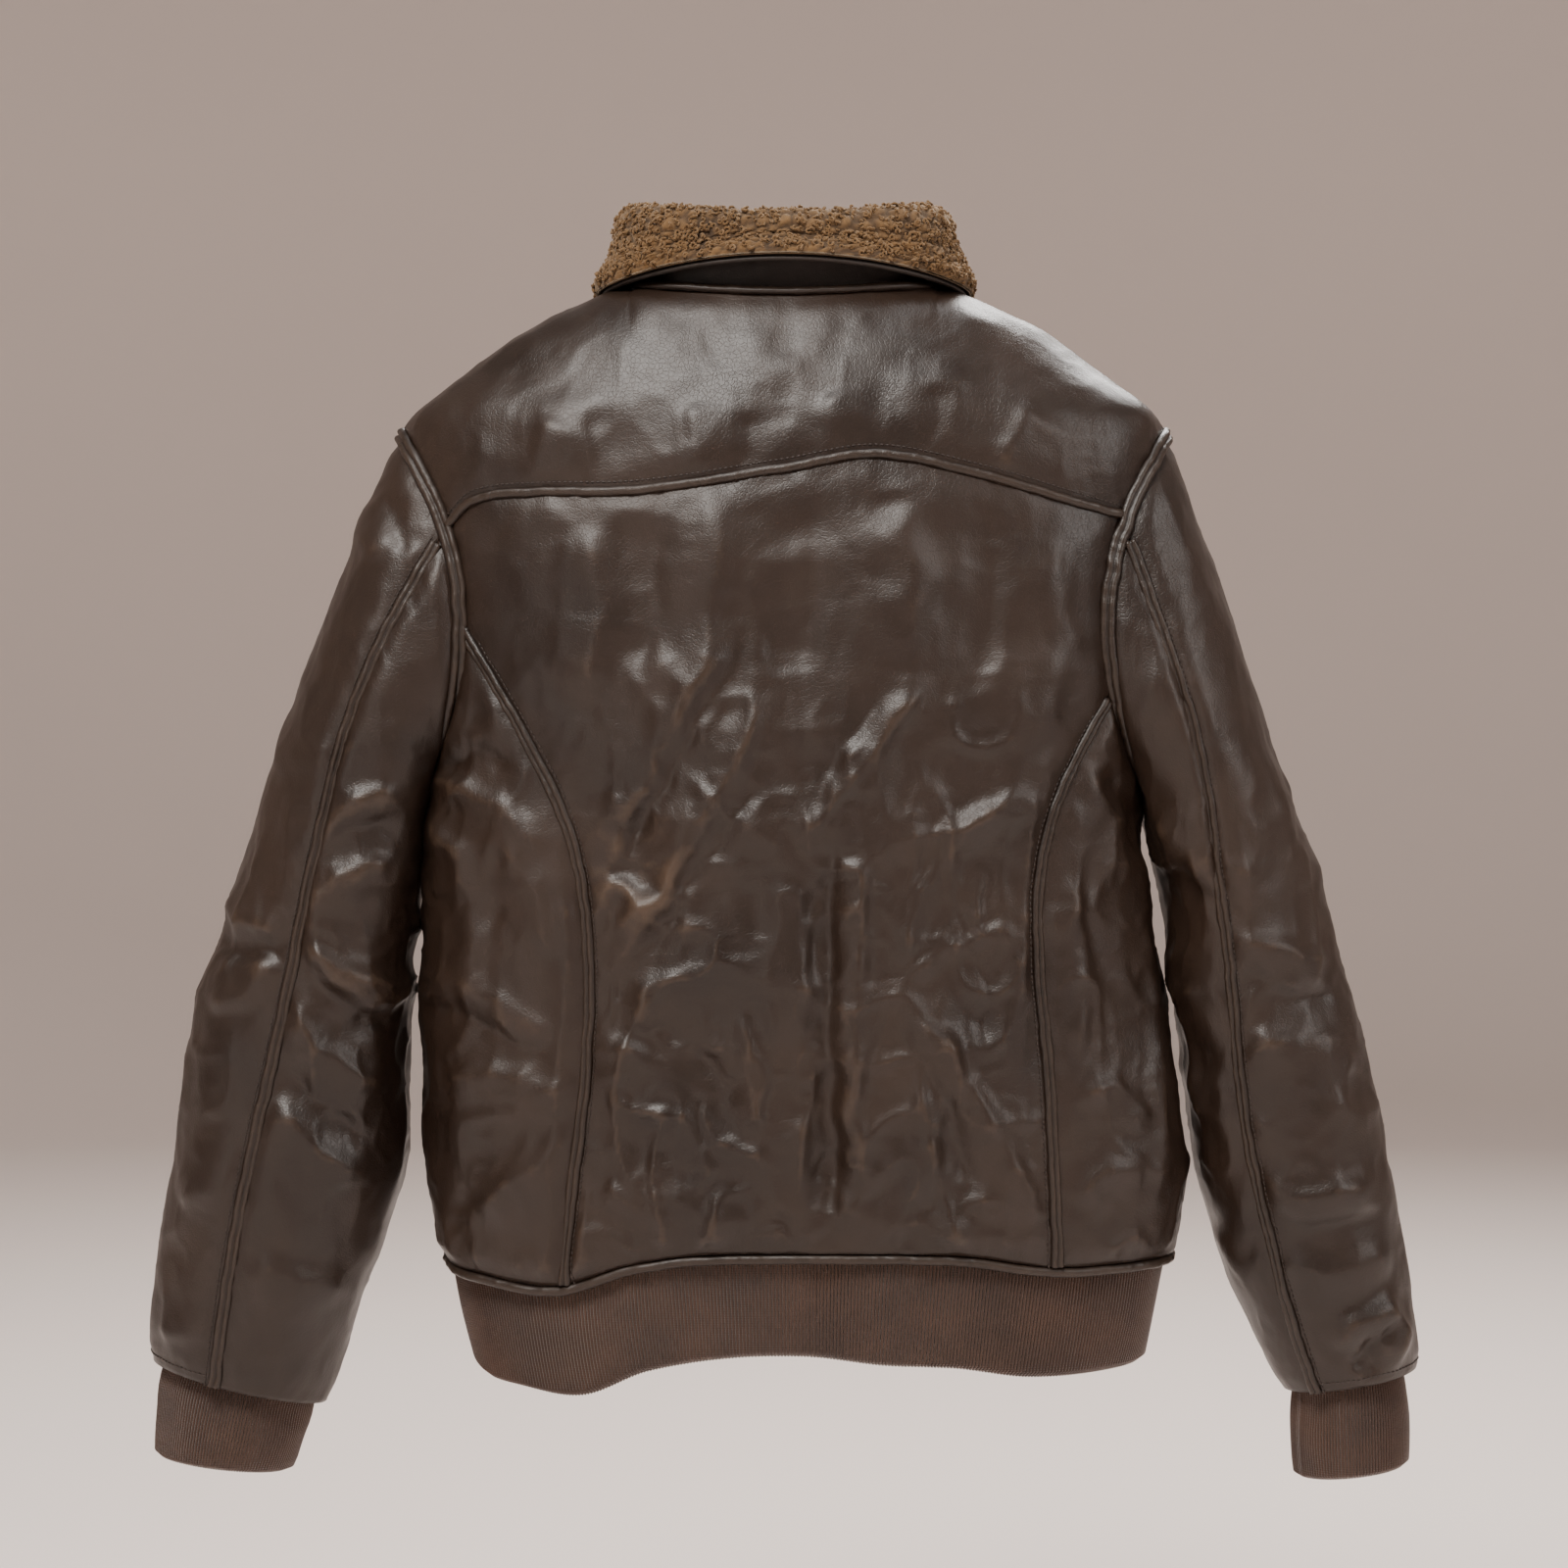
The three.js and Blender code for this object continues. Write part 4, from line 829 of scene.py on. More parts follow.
SIDE_FOLDS = [
    ([(-226, -302), (-200, -307), (-172, -318), (-140, -352)], 7, 3.2),
    ([(-226, -318), (-196, -348), (-186, -400), (-190, -446)], 9, 3.4),
    ([(-214, -300), (-186, -286), (-160, -298)], 5, -2.4),
    ([(-225, -424), (-176, -436), (-132, -462)], 8, 3.0),
    ([(-228, -440), (-180, -456), (-136, -476)], 7, -2.6),
    ([(-216, -492), (-172, -484), (-124, -494)], 9, 2.8),
    ([(-190, -572), (-150, -540), (-122, -512)], 9, 3.0),
    ([(-228, -380), (-196, -378), (-160, -392)], 7, -2.0),
    ([(-170, -330), (-150, -372), (-136, -420)], 6, 2.2),
    ([(180, -292), (200, -330), (212, -372)], 8, 3.2),
    ([(196, -292), (216, -322), (226, -360)], 7, -3.0),
    ([(168, -360), (184, -420), (178, -480)], 9, 3.0),
    ([(176, -500), (200, -492), (226, -520)], 8, 2.8),
    ([(172, -560), (196, -540), (222, -548)], 8, 2.4),
]
YOKE_FOLDS = [
    ([(-150, -128), (-146, -108), (-140, -84)], 10, 1.6),
    ([(-118, -132), (-112, -106), (-116, -80)], 8, -1.4),
    ([(-60, -126), (-52, -100), (-56, -74)], 9, 1.4),
    ([(-28, -124), (-22, -104), (-26, -84)], 7, -1.2),
    ([(24, -112), (30, -92), (26, -70)], 8, 1.4),
    ([(84, -112), (92, -90), (88, -66)], 9, -1.4),
    ([(128, -120), (140, -96), (150, -76)], 9, 1.6),
    ([(-200, -110), (-150, -92), (-100, -86)], 14, 1.2),
    ([(60, -60), (120, -70), (180, -100)], 16, 1.2),
]
SLEEVE_FOLDS = {
    "left": [
        ([(-307, -402), (-336, -392), (-352, -378)], 7, 3.2),
        ([(-307, -410), (-334, -412), (-356, -404)], 6, -2.6),
        ([(-309, -414), (-330, -438), (-356, -446)], 8, 3.0),
        ([(-300, -400), (-276, -420), (-238, -436)], 7, 3.4),
        ([(-300, -412), (-278, -436), (-244, -462)], 6, -3.0),
        ([(-308, -440), (-284, -470), (-246, -500)], 8, 3.2),
        ([(-296, -384), (-272, -364), (-240, -352)], 7, 3.0),
        ([(-290, -360), (-268, -336), (-236, -326)], 6, -2.6),
        ([(-284, -340), (-262, -316), (-234, -308)], 6, 2.6),
        ([(-312, -474), (-290, -500), (-256, -530)], 7, -2.6),
        ([(-316, -500), (-292, -530), (-258, -556)], 9, 2.8),
        ([(-322, -540), (-346, -560), (-380, -566)], 10, 2.6),
        ([(-330, -600), (-300, -616), (-270, -624)], 11, 2.4),
        ([(-246, -176), (-262, -152), (-268, -130)], 9, 2.4),
        ([(-228, -168), (-240, -148), (-246, -128)], 7, -1.8),
        ([(-262, -300), (-290, -290), (-316, -296)], 12, 1.8),
        ([(-344, -640), (-370, -650), (-394, -648)], 8, 2.0),
    ],
    "right": [
        ([(232, -320), (256, -352), (292, -366)], 9, 3.0),
        ([(238, -350), (256, -376), (288, -392)], 7, -2.6),
        ([(272, -400), (306, -408), (340, -420)], 8, 3.0),
        ([(276, -418), (308, -436), (346, -440)], 7, -2.4),
        ([(250, -400), (258, -440), (276, -470)], 8, 2.8),
        ([(280, -460), (316, -470), (356, -462)], 8, 2.6),
        ([(262, -480), (280, -510), (306, -524)], 8, 2.8),
        ([(286, -548), (316, -562), (366, -554)], 9, 3.2),
        ([(290, -566), (322, -582), (372, -574)], 7, -2.8),
        ([(270, -584), (290, -604), (316, -606)], 8, 2.8),
        ([(300, -600), (336, -608), (378, -598)], 9, 2.6),
        ([(342, -664), (352, -640), (372, -634), (384, -652), (378, -676)], 9, 4.6),
        ([(352, -672), (362, -658), (372, -676)], 7, -4.0),
        ([(228, -230), (250, -250), (262, -290)], 12, 2.0),
        ([(322, -300), (300, -330), (282, -340)], 12, 1.8),
        ([(330, -500), (352, -512), (372, -508)], 8, 2.0),
    ],
}
FRONT_FOLDS = [
    ([(-200, -150), (-150, -190), (-90, -210), (-30, -215)], 13, 2.6),
    ([(-190, -230), (-130, -260), (-60, -268)], 12, -2.4),
    ([(-210, -330), (-150, -330), (-80, -350), (-20, -345)], 13, 2.8),
    ([(-205, -380), (-150, -392), (-90, -388)], 10, -2.2),
    ([(196, -160), (140, -196), (80, -226), (24, -230)], 13, 2.6),
    ([(204, -250), (150, -268), (70, -282)], 12, -2.4),
    ([(210, -320), (150, -346), (90, -350), (24, -362)], 13, 2.8),
    ([(206, -392), (150, -396), (90, -402)], 10, -2.2),
    ([(-180, -120), (-160, -200), (-176, -290)], 14, 2.2),
    ([(180, -124), (164, -204), (180, -286)], 14, 2.2),
]


def fold_height(points, folds):
    """How far a list of folds lifts the points, each fold steep on one side and easy on the other."""
    total = np.zeros(points.shape[:-1])
    flat = points[..., [0, 2]] + 0.0022 * np.stack([waver(points, 0.018, 5), waver(points, 0.018, 9)], -1)
    for path, width, height in folds:
        path = np.array(path, float) * MM
        steps = np.linalg.norm(np.diff(path, axis=0), axis=1)
        run = np.concatenate([[0], np.cumsum(steps)])
        best, along, side = np.full(total.shape, 9.0), np.zeros(total.shape), np.ones(total.shape)
        for a, b, start in zip(path[:-1], path[1:], run):
            line = b - a
            t = np.clip(((flat - a) @ line) / (line @ line), 0, 1)
            away = flat - (a + t[..., None] * line)
            distance = np.linalg.norm(away, axis=-1)
            nearer = distance < best
            best = np.where(nearer, distance, best)
            along = np.where(nearer, start + t * np.linalg.norm(line), along)
            side = np.where(nearer, np.sign(line[0] * away[..., 1] - line[1] * away[..., 0]), side)
        spread = 1.35 * width * MM * np.where(side > 0, 0.55, 1.5) * (
            0.75 + 0.35 * np.sin(along / run[-1] * math.pi)
        )
        ends = smooth(along, -0.001, 0.22 * run[-1]) * (1 - smooth(along, 0.78 * run[-1], run[-1] + 0.001))
        total += 1.45 * height * MM * ends * np.exp(-((best / spread) ** 1.6))
    return total


def creases(points, scale, seed, stretch=(1, 1, 1)):
    """Sharp ridges with flat facets between, as crumpled leather has, from 0 to 1."""
    p = points / np.array(stretch)
    p = p + 0.35 * scale * np.stack([waver(p, scale * 1.3, seed + k) for k in (1, 2, 3)], -1)
    return (1 - np.abs(waver(p, scale, seed))) ** 2.2


def edge_runs(grid):
    """For each point, its distance from the bottom, top, left and right seams, and its places along them."""
    up = np.concatenate(
        [np.zeros((1, grid.shape[1])), np.cumsum(np.linalg.norm(np.diff(grid, axis=0), axis=-1), 0)]
    )
    across = np.concatenate(
        [np.zeros((grid.shape[0], 1)), np.cumsum(np.linalg.norm(np.diff(grid, axis=1), axis=-1), 1)], 1,
    )
    return (up, up[-1] - up, across, across[:, -1:] - across), (across, across, up, up)


def crumple_amount(name, p):
    """How crumpled the leather is at each point, from 0 to 1."""
    x, z = p[..., 0], p[..., 2]
    if name == "back":
        low = smooth(-z, 0.20, 0.36)
        return 0.22 + 0.78 * low * (1 - 0.35 * smooth(x, 0.08, 0.15))
    if name == "yoke":
        return 0.12 + 0.16 * smooth(-z, 0.07, 0.13)
    if name.startswith("front"):
        return np.full(x.shape, 0.35)
    if name.startswith("side"):
        return np.full(x.shape, 0.55)
    elbow = np.exp(-(((z + 0.42) / 0.12) ** 2))
    return 0.22 + (0.62 if name.startswith("under") else 0.30) * elbow


def folds_of(name, p):
    """All the drawn folds that reach a panel, on its rear side."""
    if name == "back":
        folds = BACK_FOLDS
    elif name == "yoke":
        folds = YOKE_FOLDS
    elif name.startswith("side"):
        folds = SIDE_FOLDS
    elif name.startswith("front"):
        folds = FRONT_FOLDS
    else:
        folds = SLEEVE_FOLDS[name.split("_")[1]]
    facing = smooth(-p[..., 1], -0.02, 0.02)
    return fold_height(p, folds) * (1 - facing if name.startswith("front") else facing)


# ---------------------------------------------------------------- leather panels: the cloth simulation
def ease_leather():
    """Cuts every panel a little larger than its place, holds its seams, and lets it settle as cloth."""
    verts, faces, hold, fullness = [], [], [], []
    places = {}
    start = 0
    for name, panel in panels.items():
        grid = panel["grid"]
        n = normals_of(grid, panel["flip"])
        distances, _ = edge_runs(grid)
        inner = smooth(np.minimum.reduce(distances), 0, 0.03)
        seed = 0.55 * folds_of(name, grid) + 0.0016 * waver(grid, 0.045, 3) + 0.0008 * waver(grid, 0.02, 4)
        begun = grid + n * (seed * inner)[..., None]
        border = np.ones(grid.shape[:2])
        border[1:-1, 1:-1] = panel["hold"]
        verts.append(begun.reshape(-1, 3))
        fullness.append((0.25 + 0.75 * crumple_amount(name, grid)).ravel())
        hold.append(border.ravel())
        faces.append(grid_faces(*grid.shape[:2], flip=panel["flip"], start=start))
        places[name] = (start, grid.shape)
        start += grid.shape[0] * grid.shape[1]
    piece = mesh_piece("settling_leather", np.concatenate(verts), np.concatenate(faces), None)
    for label, amounts in (("seams", hold), ("fullness", fullness)):
        group = piece.vertex_groups.new(name=label)
        weights = np.round(np.concatenate(amounts), 2)
        for value in np.unique(weights):
            group.add(np.nonzero(weights == value)[0].tolist(), float(value), "REPLACE")
    cloth = piece.modifiers.new("leather", "CLOTH")
    settings = cloth.settings
    settings.quality = 5
    settings.mass = 0.03
    settings.tension_stiffness = settings.compression_stiffness = 30
    settings.shear_stiffness = 12
    settings.bending_stiffness = 0.25
    settings.tension_damping = settings.compression_damping = 8
    settings.air_damping = 1.5
    settings.vertex_group_mass = "seams"
    settings.pin_stiffness = 1.0
    settings.vertex_group_shrink = "fullness"
    settings.shrink_min, settings.shrink_max = 0.0, -FULLNESS
    settings.use_pressure = True
    settings.uniform_pressure_force = 0.15
    settings.effector_weights.gravity = 0
    cloth.collision_settings.use_collision = False
    cloth.point_cache.frame_start, cloth.point_cache.frame_end = 1, SETTLING_STEPS + 2
    for step in range(1, SETTLING_STEPS + 1):
        scene.frame_set(step)
    settled = piece.evaluated_get(bpy.context.evaluated_depsgraph_get())
    found = np.empty(len(settled.data.vertices) * 3, np.float32)
    settled.data.vertices.foreach_get("co", found)
    found = found.reshape(-1, 3).astype(float)
    scene.frame_set(1)
    bpy.data.objects.remove(piece, do_unlink=True)
    return {
        name: found[at : at + shape[0] * shape[1]].reshape(shape) for name, (at, shape) in places.items()
    }


def capped(name, moved):
    """Keeps a settled panel within a little of its place."""
    panel = panels[name]
    grid = panel["grid"]
    n = normals_of(grid, panel["flip"])
    shift = moved - grid
    out = (shift * n).sum(-1)
    out = np.where(
        out > 0, OUTWARD_MOST * np.tanh(out / OUTWARD_MOST), INWARD_MOST * np.tanh(out / INWARD_MOST),
    )
    slide = shift - n * (shift * n).sum(-1, keepdims=True)
    far = np.linalg.norm(slide, axis=-1, keepdims=True)
    slide *= np.minimum(1, SLIDE_MOST / np.maximum(far, 1e-9))
    return grid + n * out[..., None] + slide



settled = ease_leather()


def finish_panel(name):
    """Finer points, the drawn folds, creases and puckers, then the panel's mesh."""
    panel = panels[name]
    moved = capped(name, settled[name]) if settled else panel["grid"]
    place = panel["grid"]
    for axis in (0, 1):
        moved, place = finer(moved, axis), finer(place, axis)
    n = unit(blurred(normals_of(place, panel["flip"]), 2))
    distances, alongs = edge_runs(place)
    inner = smooth(np.minimum.reduce(distances), 0, 0.012)
    share = crumple_amount(name, place)
    drawn = folds_of(name, place) * (0.62 if settled else 1.0)
    broad = 0.0075 * (creases(place, 0.062, 21, (1, 1, 1.6)) - 0.3) + 0.0042 * (
        creases(place, 0.030, 31, (1, 1, 1.25)) - 0.3
    )
    fine = 0.0016 * (creases(place, 0.014, 41) - 0.3) + 0.00016 * waver(place, 0.006, 51)
    height = drawn + share * broad + (0.12 + 0.88 * share) * fine
    height = height + 0.0016 * smooth(np.minimum.reduce(distances), 0.0, 0.022)
    pucker = np.zeros(height.shape)
    for k, (pull, distance, along) in enumerate(zip(panel["sides"], distances, alongs)):
        wave = creases(np.stack([along, along * 0, along * 0], -1), 0.0075, 60 + k) - 0.3
        pucker += pull * 0.0011 * wave * np.exp(-distance / (0.009 + 0.005 * waver(place, 0.03, 70 + k)))
        pucker -= pull * 0.0013 * np.exp(-distance / 0.005)
    rim = smooth(np.minimum.reduce(distances), 0, 0.0016)
    height = height * inner + pucker * rim - 0.0012 * (1 - rim)
    shape = moved + n * height[..., None]
    lifted = ((shape - place) * n).sum(-1)
    # Lighter colour on the crests of the folds: partly real wear, partly painted highlight.
    wear_and_highlight = np.clip((lifted - blurred(lifted, 14)) / 0.0014, -0.8, 1.2) * 0.40
    if name == "back":
        patch = np.exp(-(((place[..., 0] + 0.088) / 0.034) ** 2 + ((place[..., 2] + 0.368) / 0.036) ** 2))
        wear_and_highlight = wear_and_highlight + 0.85 * patch * (0.6 + 0.4 * waver(place, 0.012, 8))
    if name == "yoke":
        wear_and_highlight = wear_and_highlight + 0.12 * smooth(waver(place, 0.09, 12), -0.2, 0.8)
    piece = shell_piece(
        name + "_leather", shape, LEATHER, panel["flip"], numbers={"wear_and_highlight": wear_and_highlight, "crumple": share},
    )
    panel["shape"], panel["normal"] = shape, unit(blurred(normals_of(shape, panel["flip"]), 3))
    panel["piece"] = piece
    return piece


def hold_to(piece, body, *nodes, slot=None, fill=None):
    """A sleeve's piece keeps its place, any other piece moves with its body, and the piece stands for its CAD
    nodes, which are hidden.
    """
    if body in ("sleeve_left", "sleeve_right"):
        side = -1 if body == "sleeve_left" else 1
        start, end = ((side * x, 0, z) for x, z in (SLEEVE_STILL, SLEEVE_FREE))
        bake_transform(piece)
        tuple(start)
        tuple(end)
    else:
        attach(piece, body)
    if nodes:
        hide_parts(*nodes)
    return piece


for name, panel in panels.items():
    hold_to(finish_panel(name), panel["body"], panel["node"], slot="leather", fill=0.35)


# ---------------------------------------------------------------- seams
def line_on(name, edge, inset=0.0, lift=0.0):
    """A line along a panel's seam, a distance in from it, with the panel's normals there."""
    panel = panels[name]
    shape, n = panel["shape"], panel["normal"]
    if edge in ("bottom", "top"):
        lines, normals = (shape, n) if edge == "bottom" else (shape[::-1], n[::-1])
    else:
        lines, normals = np.moveaxis(shape, 1, 0), np.moveaxis(n, 1, 0)
        if edge == "right":
            lines, normals = lines[::-1], normals[::-1]
    run = np.concatenate(
        [np.zeros((1, lines.shape[1])), np.cumsum(np.linalg.norm(np.diff(lines, axis=0), axis=-1), 0)]
    )
    out, up = np.empty(lines.shape[1:]), np.empty(lines.shape[1:])
    for k in range(lines.shape[1]):
        for c in range(3):
            out[k, c] = np.interp(inset, run[:, k], lines[:, k, c])
            up[k, c] = np.interp(inset, run[:, k], normals[:, k, c])
    up = unit(up)
    return out + up * lift, up


def even_path(path, normals, spacing):
    run = np.concatenate([[0], np.cumsum(np.linalg.norm(np.diff(path, axis=0), axis=1))])
    count = max(3, int(run[-1] / spacing))
    at = np.linspace(0, run[-1], count + 1)
    pick = lambda rows: np.stack([np.interp(at, run, rows[:, c]) for c in range(3)], -1)
    return pick(path), unit(pick(normals)), at


def outward(piece):
    """Turns a closed mesh's faces outwards if they point in."""
    mesh = piece.data
    points = np.array([v.co for v in mesh.vertices])
    total = 0.0
    for face in mesh.polygons:
        corners = points[list(face.vertices)]
        for k in range(1, len(corners) - 1):
            total += np.dot(corners[0], np.cross(corners[k], corners[k + 1]))
    if total < 0:
        mesh.flip_normals()
    return piece


def swept(
    name, path, normals, section, material, pucker=0.0, seed=1, closed=False, spacing=0.0018, taper=0.0,
):
    """A welt, cord or strap: a closed section of (across, up) points carried along a path."""
    path, normals, run = even_path(path, normals, spacing)
    if closed:
        tangent = unit(np.roll(path, -1, 0) - np.roll(path, 1, 0))
    else:
        tangent = unit(np.gradient(path, axis=0))
    across = unit(np.cross(normals, tangent))
    normals = unit(np.cross(tangent, across))
    section = np.array(section, float)
    beat = creases(np.stack([run, run * 0, run * 0], -1), 0.0065, seed)
    grow = 1 + pucker * (beat - 0.45)
    if taper:
        grow = grow * (0.5 + 0.5 * smooth(run, 0, taper) * (1 - smooth(run, run[-1] - taper, run[-1])))
    shift = 0.25 * pucker * np.abs(section[:, 0]).max() * waver(
        np.stack([run, run * 0, run * 0], -1), 0.01, seed + 1,
    )
    grid = path[:, None] + across[:, None] * (section[None, :, 0, None] + shift[:, None, None])
    grid = grid + normals[:, None] * (section[None, :, 1] * grow[:, None])[..., None]
    rows, columns = grid.shape[:2]
    if closed:
        grid = grid[:-1]
        rows -= 1
        faces = grid_faces(rows, columns, ring=True)
        last = np.array(
            [
                [(rows - 1) * columns + i, (rows - 1) * columns + (i + 1) % columns, (i + 1) % columns, i]
                for i in range(columns)
            ]
        )
        faces = [tuple(f) for f in np.concatenate([faces, last])]
    else:
        faces = [tuple(f) for f in grid_faces(rows, columns, ring=True)]
        faces += [tuple(reversed(range(columns))), tuple(range((rows - 1) * columns, rows * columns))]
    piece = mesh_piece(name, grid, faces, material)
    # Lighter colour on the welt's crest: partly real wear, partly painted highlight.
    height = np.tile(np.clip(section[:, 1] / max(section[:, 1].max(), 1e-6), 0, 1) * 0.8, rows)
    put_number(piece, "wear_and_highlight", height * (0.5 + 0.5 * np.repeat(grow[:rows], columns)) * 0.8)
    return outward(piece)


def double_ridge(width, height, points=13):
    """The section of a felled seam: two soft ridges with the seam's groove between them."""
    a = np.linspace(-1, 1, points)
    h = height * (np.abs(np.sin(a * math.pi)) ** 0.75 * 0.75 + 0.30 * (1 - a**2)) - 0.0002
    top = [(width * x, y) for x, y in zip(a, h)]
    return top + [(width * 0.92, -0.0022), (0, -0.0026), (-width * 0.92, -0.0022)]


def round_ridge(width, height, points=9, low=-0.0022):
    a = np.linspace(math.pi, 0, points)
    return [
        (width * math.cos(t), height * math.sin(t) ** 0.8 if t not in (0, math.pi) else 0) for t in a
    ] + [(width * 0.8, low), (-width * 0.8, low)]



welts = {"torso": [], "sleeve_left": [], "sleeve_right": []}
FELLED = double_ridge(WELT, 0.0019)
yoke_line = line_on("yoke", "bottom", 0.0, 0.0009)
welts["torso"].append(swept("yoke_welt", *yoke_line, round_ridge(0.0029, 0.0027), EDGE_LEATHER, 0.35, 2))
for side, edge in (("left", "left"), ("right", "right")):
    sign = SLEEVES[side]["side"]
    path, n = line_on("back", edge, 0.0, 0.0011)
    below = path[:, 2] < (-0.212 if side == "left" else -0.256)
    welts["torso"].append(
        swept(f"princess_welt_{side}", path[below], n[below], FELLED, EDGE_LEATHER, 0.4, 5 + sign)
    )
    path, n = line_on(f"front_{side}", "left" if side == "left" else "right", 0.0, 0.0009)
    below = path[:, 2] < ARMPIT_LEVEL - 0.004
    welts["torso"].append(
        swept(
            f"side_welt_{side}", path[below], n[below], round_ridge(0.0026, 0.0014), EDGE_LEATHER, 0.4,
            9 + sign,
        )
    )
    # shoulder seam along the ridge, from the neck to the sleeve
    path, n = line_on("yoke", "top", 0.0, 0.0009)
    outer_part = (sign * path[:, 0] > NECK_EDGE - 0.004)
    welts["torso"].append(
        swept(
            f"shoulder_welt_{side}", path[outer_part], n[outer_part], round_ridge(0.0028, 0.0015),
            EDGE_LEATHER, 0.4, 12 + sign,
        )
    )
    # round the armhole, on the sleeve's head
    at = surfaces[side]
    turn = np.linspace(0, 2 * math.pi, 260)
    ring = at(turn, np.full(turn.shape, 0.004))
    wider = at(turn, np.full(turn.shape, 0.05))
    centre = ring.mean(0)
    ring_n = unit(unit(np.cross(np.gradient(ring, axis=0), wider - ring)) * (1 if sign < 0 else -1))
    ring_n = np.where(((ring - centre) * ring_n).sum(-1, keepdims=True) < 0, -ring_n, ring_n)
    welts["torso"].append(
        swept(
            f"armhole_welt_{side}", ring + ring_n * 0.0011, ring_n, double_ridge(0.0052, 0.0023),
            EDGE_LEATHER, 0.5, 20 + sign, closed=True,
        )
    )
    # the sleeve's rear and front seams
    path, n = line_on(f"top_{side}", "left", 0.0, 0.0010)
    welts[f"sleeve_{side}"].append(
        swept(f"sleeve_rear_welt_{side}", path[3:], n[3:], FELLED, EDGE_LEATHER, 0.45, 30 + sign)
    )
    path, n = line_on(f"top_{side}", "right", 0.0, 0.0008)
    welts[f"sleeve_{side}"].append(
        swept(
            f"sleeve_front_welt_{side}", path[3:], n[3:], round_ridge(0.0026, 0.0013), EDGE_LEATHER, 0.4,
            33 + sign,
        )
    )
for body, parts in welts.items():
    hold_to(join_pieces("seam_welts_" + body, parts), body, slot="leather")


# ---------------------------------------------------------------- stitches, ribs and curls
def new_tree(name, sizes):
    """A geometry-node tree with a named input for each size, and its input and output nodes."""
    tree = bpy.data.node_groups.new(name, "GeometryNodeTree")
    tree.interface.new_socket("Geometry", in_out="INPUT", socket_type="NodeSocketGeometry")
    for label, kind, value in sizes:
        socket = tree.interface.new_socket(label, in_out="INPUT", socket_type=kind)
        if value is not None:
            socket.default_value = value
    tree.interface.new_socket("Geometry", in_out="OUTPUT", socket_type="NodeSocketGeometry")
    return tree, tree.nodes.new("NodeGroupInput"), tree.nodes.new("NodeGroupOutput")


def connect(tree, joins):
    """Links nodes of a tree, each as the first node, its output, the second node and its input."""
    for source, output, target, taken in joins:
        tree.links.new(source.outputs[output], target.inputs[taken])


def made_with(tree, piece, values):
    """Runs a tree on a piece, and gives back the result as a plain mesh piece."""
    modifier = piece.modifiers.new("pattern", "NODES")
    modifier.node_group = tree
    for item in tree.interface.items_tree:
        if item.in_out == "INPUT" and item.name in values:
            modifier[item.identifier] = values[item.name]
    bpy.context.view_layer.update()
    result = bpy.data.meshes.new_from_object(piece.evaluated_get(bpy.context.evaluated_depsgraph_get()))
    result.name = piece.name
    out = bpy.data.objects.new(piece.name + "_made", result)
    scene.collection.objects.link(out)
    name = piece.name
    bpy.data.objects.remove(piece, do_unlink=True)
    out.name = name
    return out


def lines_piece(name, lines):
    """A piece that holds only lines, for a tree to follow."""
    verts, edges = [], []
    for line in lines:
        start = len(verts)
        verts.extend(tuple(p) for p in line)
        edges.extend((start + i, start + i + 1) for i in range(len(line) - 1))
    mesh = bpy.data.meshes.new(name)
    mesh.from_pydata(verts, edges, [])
    piece = bpy.data.objects.new(name, mesh)
    scene.collection.objects.link(piece)
    return piece


def stitch_tree():
    """Short rounded stitches laid end to end along lines."""
    tree, start, end = new_tree("stitching", [
        ("Pitch", "NodeSocketFloat", STITCH_PITCH),
        ("Thickness", "NodeSocketFloat", 0.0005),
        ("Thread", "NodeSocketMaterial", None),
    ])
    nodes = tree.nodes
    curve = nodes.new("GeometryNodeMeshToCurve")
    spread = nodes.new("GeometryNodeResampleCurve")
    spread.mode = "LENGTH"
    ball = nodes.new("GeometryNodeMeshUVSphere")
    ball.inputs["Segments"].default_value = 6
    ball.inputs["Rings"].default_value = 4
    ball.inputs["Radius"].default_value = 1
    tangent = nodes.new("GeometryNodeInputTangent")
    turn = nodes.new("FunctionNodeAlignRotationToVector")
    turn.axis = "X"
    size = nodes.new("ShaderNodeCombineXYZ")
    long = nodes.new("ShaderNodeMath")
    long.operation = "MULTIPLY"
    long.inputs[1].default_value = 0.40
    place = nodes.new("GeometryNodeInstanceOnPoints")
    real = nodes.new("GeometryNodeRealizeInstances")
    paint = nodes.new("GeometryNodeSetMaterial")
    connect(tree, [
        (start, "Geometry", curve, "Mesh"),
        (curve, "Curve", spread, "Curve"),
        (start, "Pitch", spread, "Length"),
        (spread, "Curve", place, "Points"),
        (ball, "Mesh", place, "Instance"),
        (tangent, "Tangent", turn, "Vector"),
        (turn, "Rotation", place, "Rotation"),
        (start, "Pitch", long, 0),
        (long, 0, size, "X"),
        (start, "Thickness", size, "Y"),
        (start, "Thickness", size, "Z"),
        (size, "Vector", place, "Scale"),
        (place, "Instances", real, "Geometry"),
        (real, "Geometry", paint, "Geometry"),
        (start, "Thread", paint, "Material"),
        (paint, "Geometry", end, "Geometry"),
    ])
    return tree


